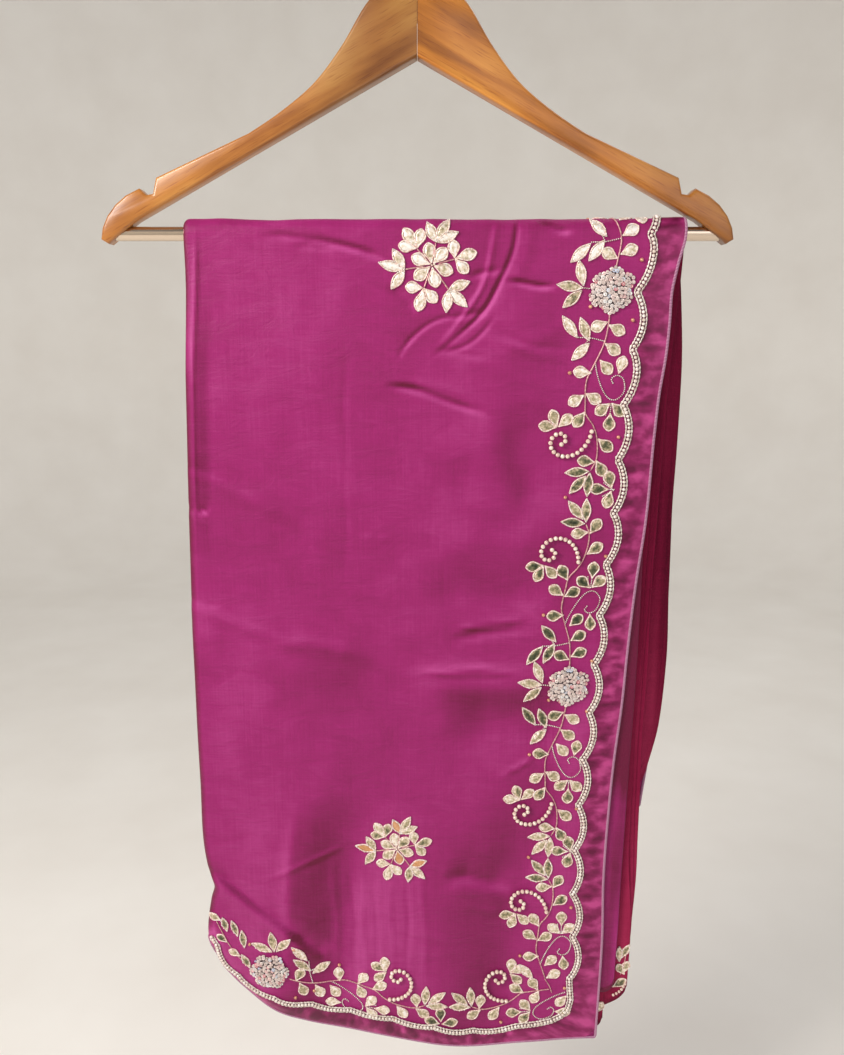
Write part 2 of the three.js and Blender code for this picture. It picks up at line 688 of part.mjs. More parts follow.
// A strip along the right-hand edge, on the panel's own columns, and one along the hem.
function sideFacing(panel) {
  const columns = 2;
  const rows = panel.down;
  return block(columns, rows, 1, (i, j, k) => {
    const inset = mix(0, FACING_WIDTH, i / columns);
    const depth = Math.max(0, panel.depths[0] * (j - CROWN_ROWS) / panel.rowCount);
    const path = j < CROWN_ROWS ? CROWN_ANGLES[j] * CROWN_RADIUS : QUARTER + depth;
    return onPanel(panel, panel.columnX(0, depth) - inset, path, FACING_LIFT + k * FACING_WALL);
  });
}

// The hem as a line from the right-hand corner to the rolled fold: place and inward direction, in
// panel terms of x and depth.
function hemLine(panel) {
  const points = [];
  for (let i = 0; i < panel.flat; i += 1) {
    points.push(new THREE.Vector2(panel.columnX(i, panel.depths[i]), panel.depths[i]));
  }
  const lengths = [0];
  for (let i = 1; i < points.length; i += 1) {
    lengths.push(lengths[i - 1] + points[i].distanceTo(points[i - 1]));
  }
  const total = lengths[lengths.length - 1];
  const at = (along) => {
    let i = 1;
    while (i < points.length - 1 && lengths[i] < along) i += 1;
    const share = (along - lengths[i - 1]) / (lengths[i] - lengths[i - 1]);
    return points[i - 1].clone().lerp(points[i], share);
  };
  const inward = (along) => {
    const run = at(along + 8).sub(at(along - 8)).normalize();
    return new THREE.Vector2(-run.y, run.x);
  };
  return { total, at, inward };
}

function onHem(panel, line, along, inset, lift) {
  const place = line.at(along).addScaledVector(line.inward(along), inset);
  return onPanel(panel, place.x, QUARTER + place.y, lift);
}

function onSide(panel, along, inset, lift) {
  const x = panel.columnX(0, Math.max(0, along - QUARTER)) - inset;
  return onPanel(panel, x, along, lift);
}

// The hem facing lies on the last row of the panel, from the side facing to the rolled fold.
function hemFacing(panel) {
  const first = FROM_RIGHT.findIndex((inset) => inset > FACING_WIDTH);
  const before = FROM_RIGHT[first - 1];
  const start = (FACING_WIDTH + GAP - before) / (FROM_RIGHT[first] - before);
  const out = outwards(panel, 2 * QUARTER);
  return block(panel.flat - first, 1, 1, (i, j, k) => {
    const column = first - 1 + Math.max(i, start);
    const whole = Math.min(Math.floor(column), panel.flat - 2);
    const depth = mix(panel.depths[whole], panel.depths[whole + 1], column - whole);
    const up = j * FACING_WIDTH * panel.rowCount / depth;
    const left = panel.outer[whole];
    const right = panel.outer[whole + 1];
    const a = left[panel.down].clone().lerp(left[panel.down - 1], up);
    const b = right[panel.down].clone().lerp(right[panel.down - 1], up);
    return a.lerp(b, column - whole).addScaledVector(out, FACING_LIFT + k * FACING_WALL);
  });
}

// The piping: down the right-hand edge, round the corner and along the hem.
function pipingGeometry(panel) {
  const stand = PIPING_WIDTH / 2 + GAP;
  const centres = [];
  const sides = [];
  const middle = (i, j) => panel.point(i, j, false).lerp(panel.point(i, j, true), 0.5);
  for (let j = 0; j < panel.down; j += 1) {
    centres.push(middle(0, j).add(new THREE.Vector3(stand, 0, 0)));
    sides.push(new THREE.Vector3(1, 0, 0));
  }
  centres.push(middle(0, panel.down).add(new THREE.Vector3(stand, 0, -stand)));
  sides.push(new THREE.Vector3(1, 0, -1));
  for (let i = 1; i < panel.flat; i += 1) {
    centres.push(middle(i, panel.down).add(new THREE.Vector3(0, 0, -stand)));
    sides.push(new THREE.Vector3(0, 0, -1));
  }
  const half = PIPING_WIDTH / 2;
  return block(centres.length - 1, 1, 1, (i, j, k) => {
    const out = outwards(panel, i < CROWN_ROWS ? CROWN_ANGLES[i] * CROWN_RADIUS : 2 * QUARTER);
    return centres[i].clone()
      .addScaledVector(sides[i], j === 0 ? -half : half)
      .addScaledVector(out, k === 0 ? -half : half);
  });
}

// ---------------------------------------------------------------- bead edging

// Round scallops with cusps pointing in from the edge, one larger turn at the corner, and the same
// scallops along the hem. Each entry is a place and its inset direction in panel terms.
function scallop(along) {
  const share = along / SCALLOP_PERIOD - Math.floor(along / SCALLOP_PERIOD);
  return SCALLOP_HEIGHT * Math.sin(Math.PI * share) ** 0.75;
}

function beadLine(panel, line, firstCusp) {
  const step = SCALLOP_PERIOD / SCALLOP_STEPS;
  const places = [];
  const sideX = (along) => panel.columnX(0, Math.max(0, along - QUARTER));
  const sideEnd = QUARTER + panel.depths[0] - CORNER_REACH;
  const alongs = CROWN_ANGLES.slice(0, -1).map((angle) => angle * CROWN_RADIUS);
  const sideSteps = Math.round((sideEnd - QUARTER) / step);
  for (let n = 0; n <= sideSteps; n += 1) alongs.push(mix(QUARTER, sideEnd, n / sideSteps));
  for (const along of alongs) {
    places.push(new THREE.Vector2(sideX(along) - SCALLOP_CUSP + scallop(along - firstCusp), along));
  }
  const last = places[places.length - 1];
  const hemStart = line.at(CORNER_REACH);
  const turned = new THREE.Vector2(hemStart.x, QUARTER + hemStart.y - HEM_CUSP + CORNER_ROUNDING);
  for (let n = 1; n < CORNER_STEPS; n += 1) {
    const turn = Math.PI / 2 * n / CORNER_STEPS;
    const rise = 1 - Math.cos(turn) ** 0.8;
    const run = Math.sin(turn) ** 0.8;
    const x = mix(last.x, turned.x, rise) + CORNER_ROUNDING * Math.sin(2 * turn);
    places.push(new THREE.Vector2(x, mix(last.y, turned.y, run)));
  }
  const hemSteps = Math.round((line.total - CORNER_REACH - 2) / step);
  for (let n = 0; n <= hemSteps; n += 1) {
    const along = mix(CORNER_REACH, line.total - 2, n / hemSteps);
    const inset = HEM_CUSP - HEM_SCALLOP * scallop(along - CORNER_REACH);
    const place = line.at(along).addScaledVector(line.inward(along), inset);
    places.push(new THREE.Vector2(place.x, QUARTER + place.y));
  }
  return places;
}

// A flat strip along a line of panel places.
function stripOnPanel(panel, places, width, lift, height) {
  return block(places.length - 1, 1, 1, (i, j, k) => {
    const before = places[Math.max(0, i - 1)];
    const after = places[Math.min(places.length - 1, i + 1)];
    const run = after.clone().sub(before).normalize();
    const offset = width * (j - 0.5);
    const x = places[i].x - run.y * offset;
    const path = Math.max(0.2, places[i].y + run.x * offset);
    return onPanel(panel, x, path, lift + k * height);
  });
}

// ---------------------------------------------------------------- embroidery

// A plate with a raised middle, from its outline and middle as (place, lift) on the cloth.
function domedPlate(outline, middle, put, rim, crown) {
  const n = outline.length;
  const points = [put(middle, EMBROIDERY_LIFT), put(middle, EMBROIDERY_LIFT + crown)];
  for (const place of outline) points.push(put(place, EMBROIDERY_LIFT));
  if (rim > 0) for (const place of outline) points.push(put(place, EMBROIDERY_LIFT + rim));
  const top = rim > 0 ? 2 + n : 2;
  const triangles = [];
  for (let i = 0; i < n; i += 1) {
    const next = (i + 1) % n;
    triangles.push([0, 2 + next, 2 + i], [1, top + i, top + next]);
    if (rim > 0) triangles.push([2 + i, 2 + next, top + next], [2 + i, top + next, top + i]);
  }
  return closedGeometry(points, triangles);
}

// A petal or leaf: a kite with a raised middle, from its base towards its tip.
function petal(base, turn, length, put) {
  const run = new THREE.Vector2(Math.cos(turn), Math.sin(turn));
  const cross = new THREE.Vector2(-run.y, run.x);
  const belly = base.clone().addScaledVector(run, 0.58 * length);
  const outline = [
    base.clone().addScaledVector(run, -PETAL_ROOT),
    belly.clone().addScaledVector(cross, -PETAL_WIDTH / 2),
    base.clone().addScaledVector(run, length),
    belly.clone().addScaledVector(cross, PETAL_WIDTH / 2),
  ];
  const points = outline.map((place) => put(place, EMBROIDERY_LIFT));
  points.push(put(belly, EMBROIDERY_LIFT + EMBROIDERY_HEIGHT));
  const faces = [[0, 1, 4], [1, 2, 4], [2, 3, 4], [3, 0, 4], [0, 3, 1], [1, 3, 2]];
  return closedGeometry(points, faces);
}

// Petals that share a base, as one plate: its outline runs out to each tip and back between them.
function petalStar(base, turns, length, put) {
  const outline = [];
  const spread = turns[turns.length - 1] - turns[0];
  const open = spread < Math.PI; // petals to one side only: the plate closes behind its base
  if (open) outline.push(polar(base, turns[0] + spread / 2 + Math.PI, 1.5));
  const width = PETAL_WIDTH / 2 / (0.6 * length);
  turns.forEach((turn, order) => {
    outline.push(polar(base, turn - width, 0.6 * length));
    outline.push(polar(base, turn, length));
    outline.push(polar(base, turn + width, 0.6 * length));
    if (order < turns.length - 1 || !open) {
      const next = order < turns.length - 1 ? turns[order + 1] : turns[0] + 2 * Math.PI;
      outline.push(polar(base, (turn + next) / 2, 0.3 * length));
    }
  });
  return domedPlate(outline, base, put, 0, EMBROIDERY_HEIGHT);
}

function polar(centre, turn, reach) {
  return new THREE.Vector2(centre.x + reach * Math.cos(turn), centre.y + reach * Math.sin(turn));
}

function stalk(from, to, put) {
  const run = to.clone().sub(from).normalize();
  const cross = new THREE.Vector2(-run.y, run.x).multiplyScalar(STEM_WIDTH / 2);
  return block(1, 1, 1, (i, j, k) => {
    const place = (i === 0 ? from : to).clone().addScaledVector(cross, j === 0 ? -1 : 1);
    return put(place, STEM_LIFT + k * STEM_HEIGHT);
  });
}

// One sprig of the vine grows from a sequin flower and ends in three leaves half way to the next.
// Places are along from the flower, and inset from the finished edge. Turns are in degrees from
// straight along towards straight in.
const SPRIG_PETALS = [
  { root: 23, turn: 75 },
  { root: 24, turn: -42 },
  { root: 37, turn: -50 },
  { root: 54, turn: 97 },
  { root: 69, turn: 48 },
  { root: 70, turn: -42 },
  { root: 84, turn: 38 },
  { root: 100, turn: -50 },
  { root: 112, turn: -30 },
];
const SIDE_STALK = { root: 35, along: 32, inset: 61 };
const SIDE_LEAVES = { turns: [52, 118, 172], length: 14 };
const END_LEAVES = { root: 120, turns: [4, 46, 90], length: 14 };

function stemInset(along) {
  return 45 + 6 * Math.sin(2 * Math.PI * (along - 35) / 95);
}

function sprigGeometry(put, from, to) {
  const spot = (along) => new THREE.Vector2(along, stemInset(along));
  const inReach = (row) => row.root > from + 1 && row.root < to;
  const steps = Math.ceil((to - from) / 16);
  const stem = block(steps, 1, 1, (i, j, k) => {
    const along = mix(from, to, i / steps);
    const place = new THREE.Vector2(along, stemInset(along) + STEM_WIDTH * (j - 0.5));
    return put(place, STEM_LIFT + k * STEM_HEIGHT);
  });
  const parts = [stem];
  for (const row of SPRIG_PETALS.filter(inReach)) {
    parts.push(petal(spot(row.root), THREE.MathUtils.degToRad(row.turn), PETAL_LENGTH, put));
  }
  const turnsOf = (leaves) => leaves.turns.map(THREE.MathUtils.degToRad);
  if (inReach(SIDE_STALK)) {
    const end = new THREE.Vector2(SIDE_STALK.along, SIDE_STALK.inset);
    parts.push(stalk(spot(SIDE_STALK.root), polar(end, Math.PI / 2, 2), put));
    parts.push(petalStar(end, turnsOf(SIDE_LEAVES), SIDE_LEAVES.length, put));
  }
  parts.push(petalStar(spot(END_LEAVES.root), turnsOf(END_LEAVES), END_LEAVES.length, put));
  return union(parts);
}

// A sequin flower: six round lobes.
function sequinFlower(put) {
  const outline = [];
  const count = 18;
  for (let i = 0; i < count; i += 1) {
    const turn = 2 * Math.PI * i / count;
    const radius = FLOWER_RADIUS * (0.84 + 0.16 * Math.abs(Math.cos(3 * turn)));
    outline.push(new THREE.Vector2(radius * Math.cos(turn), FLOWER_INSET + radius * Math.sin(turn)));
  }
  return domedPlate(outline, new THREE.Vector2(0, FLOWER_INSET), put, 1, FLOWER_HEIGHT);
}

// A buta: a flower of six petals with six sprigs of three petals about it. Where it bends over the
// bar it stands farther out, to clear the curve under its straight petals.
function butaGeometry(panel, x, path, spin) {
  const put = (place, lift) => {
    const onCrown = smooth((QUARTER + 12 - path - place.y) / 12);
    return onPanel(panel, x + place.x, path + place.y, lift + CROWN_CLEAR * onCrown);
  };
  const middle = new THREE.Vector2(0, 0);
  const petals = [0, 60, 120, 180, 240, 300].map((turn) => THREE.MathUtils.degToRad(turn + spin));
  const parts = [petalStar(middle, petals, BUTA_PETAL, put)];
  [18, 78, 136, 196, 262, 320].forEach((turn, order) => {
    const heading = THREE.MathUtils.degToRad(turn - 90 + spin);
    const root = polar(middle, heading, BUTA_STALK);
    const leaves = [heading - 1, heading, heading + 1];
    parts.push(stalk(middle, root, put));
    parts.push(petalStar(root, leaves, order % 2 === 0 ? 14 : 11, put));
  });
  return union(parts);
}

// ---------------------------------------------------------------- trims and embroidery, placed

const PANELS = [
  { name: 'front', panel: frontPanel, firstCusp: FIRST_FLOWER },
  { name: 'back', panel: backPanel, firstCusp: -FIRST_FLOWER },
];
for (const { name, panel, firstCusp } of PANELS) {
  const line = hemLine(panel);
  addPiece(`side_facing_${name}`, sideFacing(panel), FACING);
  addPiece(`hem_facing_${name}`, hemFacing(panel), FACING);
  addPiece(`piping_${name}`, pipingGeometry(panel), PIPING);
  const places = beadLine(panel, line, firstCusp);
  const lift = FACING_LIFT + FACING_WALL + BEAD_LIFT;
  const beads = stripOnPanel(panel, places, BEAD_LINE_WIDTH, lift, BEAD_LINE_HEIGHT);
  addPiece(`bead_edging_${name}`, beads, BEADS);
}

// The front vine's sprigs: which edge, the distance of the flower it grows from along that edge,
// which way it grows, and where along the sprig it starts to lie on this panel.
const SECOND_FLOWER = FIRST_FLOWER + VINE_REPEAT;
const HEM_FLOWER = 268;
const VINE = [
  { name: 'side_1', edge: 'side', flower: FIRST_FLOWER, grows: 1 },
  { name: 'side_2', edge: 'side', flower: SECOND_FLOWER, grows: -1 },
  { name: 'side_3', edge: 'side', flower: SECOND_FLOWER, grows: 1 },
  { name: 'side_4', edge: 'side', flower: SECOND_FLOWER + VINE_REPEAT, grows: -1, from: 42 },
  { name: 'hem_1', edge: 'hem', flower: HEM_FLOWER, grows: -1 },
  { name: 'hem_2', edge: 'hem', flower: HEM_FLOWER - VINE_REPEAT, grows: 1, from: 84 },
];
const frontHemLine = hemLine(frontPanel);
for (const { name, edge, flower, grows, from = FLOWER_RADIUS + 1 } of VINE) {
  const put = (place, lift) => (edge === 'side'
    ? onSide(frontPanel, flower + grows * place.x, place.y, lift)
    : onHem(frontPanel, frontHemLine, flower + grows * place.x, place.y, lift));
  addPiece(`vine_${name}`, sprigGeometry(put, from, SPRIG_LENGTH), GOTA);
}

const FLOWERS = [
  { name: 'front_1', panel: frontPanel, edge: 'side', along: FIRST_FLOWER },
  { name: 'front_2', panel: frontPanel, edge: 'side', along: SECOND_FLOWER },
  { name: 'front_hem', panel: frontPanel, edge: 'hem', along: HEM_FLOWER },
  { name: 'back', panel: backPanel, edge: 'side', along: VINE_REPEAT - FIRST_FLOWER },
  { name: 'back_hem', panel: backPanel, edge: 'hem', along: 232 },
];
for (const { name, panel, edge, along } of FLOWERS) {
  const line = hemLine(panel);
  const put = (place, lift) => (edge === 'side'
    ? onSide(panel, along + place.x, place.y, lift)
    : onHem(panel, line, along + place.x, place.y, lift));
  addPiece(`sequin_flower_${name}`, sequinFlower(put), SEQUIN);
}

const BUTAS = [
  { name: 'top', panel: frontPanel, x: 10, depth: 22, spin: 0 },
  { name: 'low', panel: frontPanel, x: -16.5, depth: 458, spin: 10 },
  { name: 'back', panel: backPanel, x: -28, depth: 300, spin: 0 },
];
for (const { name, panel, x, depth, spin } of BUTAS) {
  addPiece(`buta_${name}`, butaGeometry(panel, x, QUARTER + depth, spin), GOTA);
}

export default saree;
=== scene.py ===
import bmesh
import bpy
import numpy as np
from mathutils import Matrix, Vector


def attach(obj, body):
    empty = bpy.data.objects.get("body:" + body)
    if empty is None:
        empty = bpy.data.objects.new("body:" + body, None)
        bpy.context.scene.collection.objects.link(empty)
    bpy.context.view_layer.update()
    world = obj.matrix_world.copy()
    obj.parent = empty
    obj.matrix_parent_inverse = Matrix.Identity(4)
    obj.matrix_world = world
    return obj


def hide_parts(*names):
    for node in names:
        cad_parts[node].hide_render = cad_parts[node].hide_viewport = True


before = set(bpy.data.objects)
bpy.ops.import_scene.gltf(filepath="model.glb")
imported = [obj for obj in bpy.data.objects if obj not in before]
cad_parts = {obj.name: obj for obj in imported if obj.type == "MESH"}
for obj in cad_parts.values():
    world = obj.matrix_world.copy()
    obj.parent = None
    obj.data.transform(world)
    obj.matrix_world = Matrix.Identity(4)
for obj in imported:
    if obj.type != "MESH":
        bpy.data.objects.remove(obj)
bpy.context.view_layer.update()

scene = bpy.context.scene

# ---------------------------------------------------------------- hanger
# Two shaped arms of varnished hardwood meet at a glued joint under the hook. The left arm is cut
# from paler timber than the right. A polished steel bar runs between their ends and a bent steel
# hook is screwed in at the top.


def linear(code):
    """An sRGB hex colour as linear red, green, blue and full alpha."""
    srgb = np.array([int(code[i : i + 2], 16) for i in (1, 3, 5)]) / 255
    low, high = srgb / 12.92, ((srgb + 0.055) / 1.055) ** 2.4
    return (*np.where(srgb <= 0.04045, low, high), 1.0)


def add_node(material, kind, inputs=None, stops=None, **settings):
    """Adds one shader node: settings are its properties, inputs its sockets' values or the
    sockets that feed them, and stops a colour ramp's places and colours."""
    made = material.node_tree.nodes.new(kind)
    for name, value in settings.items():
        setattr(made, name, value)
    for name, value in (inputs or {}).items():
        if isinstance(value, bpy.types.NodeSocket):
            material.node_tree.links.new(value, made.inputs[name])
        else:
            made.inputs[name].default_value = value
    if stops:
        ramp = made.color_ramp
        while len(ramp.elements) < len(stops):
            ramp.elements.new(1)
        for element, (place, code) in zip(ramp.elements, stops):
            element.position = place
            element.color = linear(code)
    return made


def new_finish(name):
    """An empty material with its output node, ready for a shader."""
    material = bpy.data.materials.new(name)
    material.use_nodes = True
    material.node_tree.nodes.clear()
    return material


def shade(material, **sockets):
    """Ends a material with the principled shader: each socket gets a constant or what feeds it."""
    named = {name.replace("_", " "): value for name, value in sockets.items()}
    shader = add_node(material, "ShaderNodeBsdfPrincipled", named)
    add_node(material, "ShaderNodeOutputMaterial", {"Surface": shader.outputs[0]})
    return material


# Clear satin varnish over honey-coloured hardwood: long streaks along the arm, darker pores.
def varnished_wood(name, lean, pale, middle, dark, falloff_shade):
    """Grain runs along the arm, which leans by so many radians: streaks 9 mm wide and 150 mm
    long, pores 0.7 mm wide and 16 mm long, and broad patches of 45 mm. The last argument is
    (start, end, share): painted shade for the lamp's falloff, which darkens the wood from one
    place across, in metres, to another, down to that share."""
    material = new_finish(name)
    place = add_node(material, "ShaderNodeTexCoord").outputs["Object"]
    turn = (0.0, lean, 0.0)

    def grain(across, along, detail, distortion=0.0):
        sizes = (along, across, across)
        stretched = add_node(
            material,
            "ShaderNodeMapping",
            {"Vector": place, "Rotation": turn, "Scale": sizes},
            vector_type="TEXTURE",
        )
        return add_node(
            material,
            "ShaderNodeTexNoise",
            {
                "Vector": stretched.outputs[0],
                "Scale": 1.0,
                "Detail": detail,
                "Distortion": distortion,
            },
        ).outputs[0]

    streaks, patches = grain(0.009, 0.15, 4.0, 0.6), grain(0.045, 0.06, 2.0)
    pores = grain(0.0007, 0.016, 2.0)
    both = add_node(material, "ShaderNodeMath", {0: streaks, 1: patches}, operation="ADD")
    tone = add_node(
        material, "ShaderNodeMath", {0: both.outputs[0], 1: 0.5}, operation="MULTIPLY"
    )
    colour = add_node(
        material,
        "ShaderNodeValToRGB",
        {"Fac": tone.outputs[0]},
        stops=[(0.36, dark), (0.5, middle), (0.64, pale)],
    )
    pore = add_node(
        material, "ShaderNodeValToRGB", {"Fac": pores}, stops=[(0.3, "#b98a5e"), (0.44, "#ffffff")]
    )
    tinted = add_node(
        material,
        "ShaderNodeMixRGB",
        {"Fac": 0.6, "Color1": colour.outputs[0], "Color2": pore.outputs[0]},
        blend_type="MULTIPLY",
    )
    start, end, share = falloff_shade
    falloff_share = add_node(
        material,
        "ShaderNodeMapRange",
        {
            "Value": add_node(material, "ShaderNodeSeparateXYZ", {"Vector": place}).outputs["X"],
            "From Min": start,
            "From Max": end,
            "To Min": 1.0,
            "To Max": share,
        },
        interpolation_type="SMOOTHSTEP",
    )
    falloff_shaded = add_node(
        material,
        "ShaderNodeMixRGB",
        {"Fac": 1.0, "Color1": tinted.outputs[0], "Color2": falloff_share.outputs[0]},
        blend_type="MULTIPLY",
    )
    bump = add_node(
        material, "ShaderNodeBump", {"Height": pores, "Strength": 0.12, "Distance": 0.0003}
    )
    return shade(
        material,
        Base_Color=falloff_shaded.outputs[0],
        Roughness=0.34,
        Coat_Weight=0.3,
        Coat_Roughness=0.18,
        Normal=bump.outputs[0],
    )


ARM_LEAN = 0.494  # the arms slope 28 degrees
# Painted shade: the left arm darkens towards the joint, the right one towards its end.
WOOD_LIGHT = varnished_wood(
    "varnished_pale_hardwood", -ARM_LEAN, "#d2954a", "#bd7b36", "#98591f", (-0.105, -0.04, 0.6)
)
WOOD_DARK = varnished_wood(
    "varnished_brown_hardwood", ARM_LEAN, "#d08c38", "#b56f22", "#8c5012", (0.12, 0.2, 0.75)
)

# Polished steel wire and tube, with faint drawing lines, 1 mm apart, that soften it. Its base
# colour is tinted warm as a painted reflection of the wooden arms.
STEEL = new_finish("polished_steel")
steel_place = add_node(STEEL, "ShaderNodeTexCoord").outputs["Object"]
steel_drawn = add_node(
    STEEL, "ShaderNodeMapping", {"Vector": steel_place, "Scale": (12.0, 900.0, 900.0)}
)
steel_lines = add_node(
    STEEL,
    "ShaderNodeTexNoise",
    {"Vector": steel_drawn.outputs[0], "Scale": 1.0, "Detail": 2.0},
)
steel_rough = add_node(
    STEEL, "ShaderNodeMapRange", {"Value": steel_lines.outputs[0], "To Min": 0.1, "To Max": 0.28}
)
shade(STEEL, Base_Color=linear("#e2cfba"), Metallic=1.0, Roughness=steel_rough.outputs[0])

SHARP_TURN = 0.6  # radians: an edge that turns more stays sharp
MERGE_WITHIN = 2e-6  # metres


def smooth_copy(node, name, finish):
    """A copy of a rigid solid with its loose triangles merged and its curves smooth shaded."""
    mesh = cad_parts[node].data.copy()
    joined = bmesh.new()
    joined.from_mesh(mesh)
    bmesh.ops.remove_doubles(joined, verts=joined.verts, dist=MERGE_WITHIN)
    joined.to_mesh(mesh)
    joined.free()
    mesh.materials.clear()
    mesh.materials.append(finish)
    mesh.polygons.foreach_set("use_smooth", np.ones(len(mesh.polygons), bool))
    mesh.polygons.foreach_set("material_index", np.zeros(len(mesh.polygons), np.int32))
    mesh.set_sharp_from_angle(angle=SHARP_TURN)
    piece = bpy.data.objects.new(name, mesh)
    scene.collection.objects.link(piece)
    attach(piece, "root")
    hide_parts(node)


smooth_copy("hanger_arm_left", "arm_left", WOOD_LIGHT)
smooth_copy("hanger_arm_right", "arm_right", WOOD_DARK)
smooth_copy("hanger_bar", "bar", STEEL)
smooth_copy("hanger_hook", "hook", STEEL)

# ---------------------------------------------------------------- how the saree hangs
# The folded saree lies over the bar: a long fall in front and a shorter one behind. A spot of the
# outermost layer has a place across, x, and a path: the length down the front fall from the line
# over the bar, or, when negative, down the back fall. Everything is in millimetres.

BAR_Z = -220.0
CROWN = 9.3  # outside radius of the layers over the bar
QUARTER = CROWN * np.pi / 2  # path from the top line to where the cloth hangs
LOOSEN = 110.0  # depth at which the layers hang loose
FRONT_FACE, BACK_FACE = 14.5, 13.4  # outer faces of the loose falls, from the bar's plane
TUCK_FACE = 2.85  # where the outer layer runs back inside, behind the others
ROLL, CROWN_ROLL = 5.7, 4.2  # radius of the rolled left-hand fold: hanging, and over the bar
TOP_BAND = 14.0  # path over which creases fade in below the top line
FOLDS_START, FOLDS_EASE = 12, 60  # depth where soft folds begin, and over which they grow full

# The outlines: each side as (depth, x) and each hem as (x, depth). The left one is the outermost
# line of the rolled fold.
FRONT_RIGHT = [
    (0, 180.5), (20, 176.2), (38, 172.8), (58, 172), (80, 170.4), (106, 167), (135, 165),
    (200, 162), (243, 157.6), (300, 153.6), (333, 152), (387, 147.6), (430, 145.4),
    (491, 144.2), (526, 145.2), (640, 143.6),
]
FRONT_LEFT = [
    (0, -160.5), (60, -161), (120, -162.5), (200, -165), (300, -167), (400, -167.5),
    (466, -166.5), (480, -164.5), (491, -160.5), (503, -163.5), (526, -167.5), (580, -167.5),
]
FRONT_HEM = [
    (-172, 520), (-166.5, 541), (-158.5, 563), (-150, 575), (-136, 590), (-120, 604),
    (-92, 616), (-51, 625), (0, 634), (30, 637), (90, 632), (146, 628),
]
BACK_RIGHT = [
    (0, 180.5), (40, 182.5), (210, 184.5), (260, 186), (360, 183.5), (400, 180), (460, 174)
]
BACK_LEFT = [(0, -160), (40, -160), (210, -161), (260, -162), (360, -163), (460, -162)]
BACK_HEM = [(-170, 436), (-120, 447), (-40, 450), (60, 447), (140, 441), (190, 434)]

# Soft folds, then sharper creases: from (x, depth) to (x, depth), the sideways bend of the line,
# its half width, how far the cloth stands out, and how much of that is a step rather than a ridge.
FRONT_FOLDS = [
    (92, 10, 62, 120, 0, 26, 1.2, 0),
    (-166, 270, -60, 306, 0, 24, 1.6, 0),
    (20, 168, 92, 180, 0, 20, -1.3, 0),
    (24, 206, 92, 216, 0, 15, 1.2, 0),
    (16, 246, 86, 254, 0, 15, -1.2, 0),
    (4, 318, 96, 322, 0, 13, 2.2, 0),
    (34, 356, 110, 362, 0, 24, -2.8, 0),
    (-112, 430, -110, 640, 0, 26, 2.2, 0),
    (-54, 420, -56, 600, 0, 24, -2.6, 0),
    (6, 440, 8, 640, 0, 26, 1.4, 0),
    (78, 430, 80, 620, 0, 26, -2.6, 0),
    (116, 300, 112, 640, 0, 20, -0.8, 0),
    (-130, 330, -40, 372, 0, 34, 1.0, 0),
]
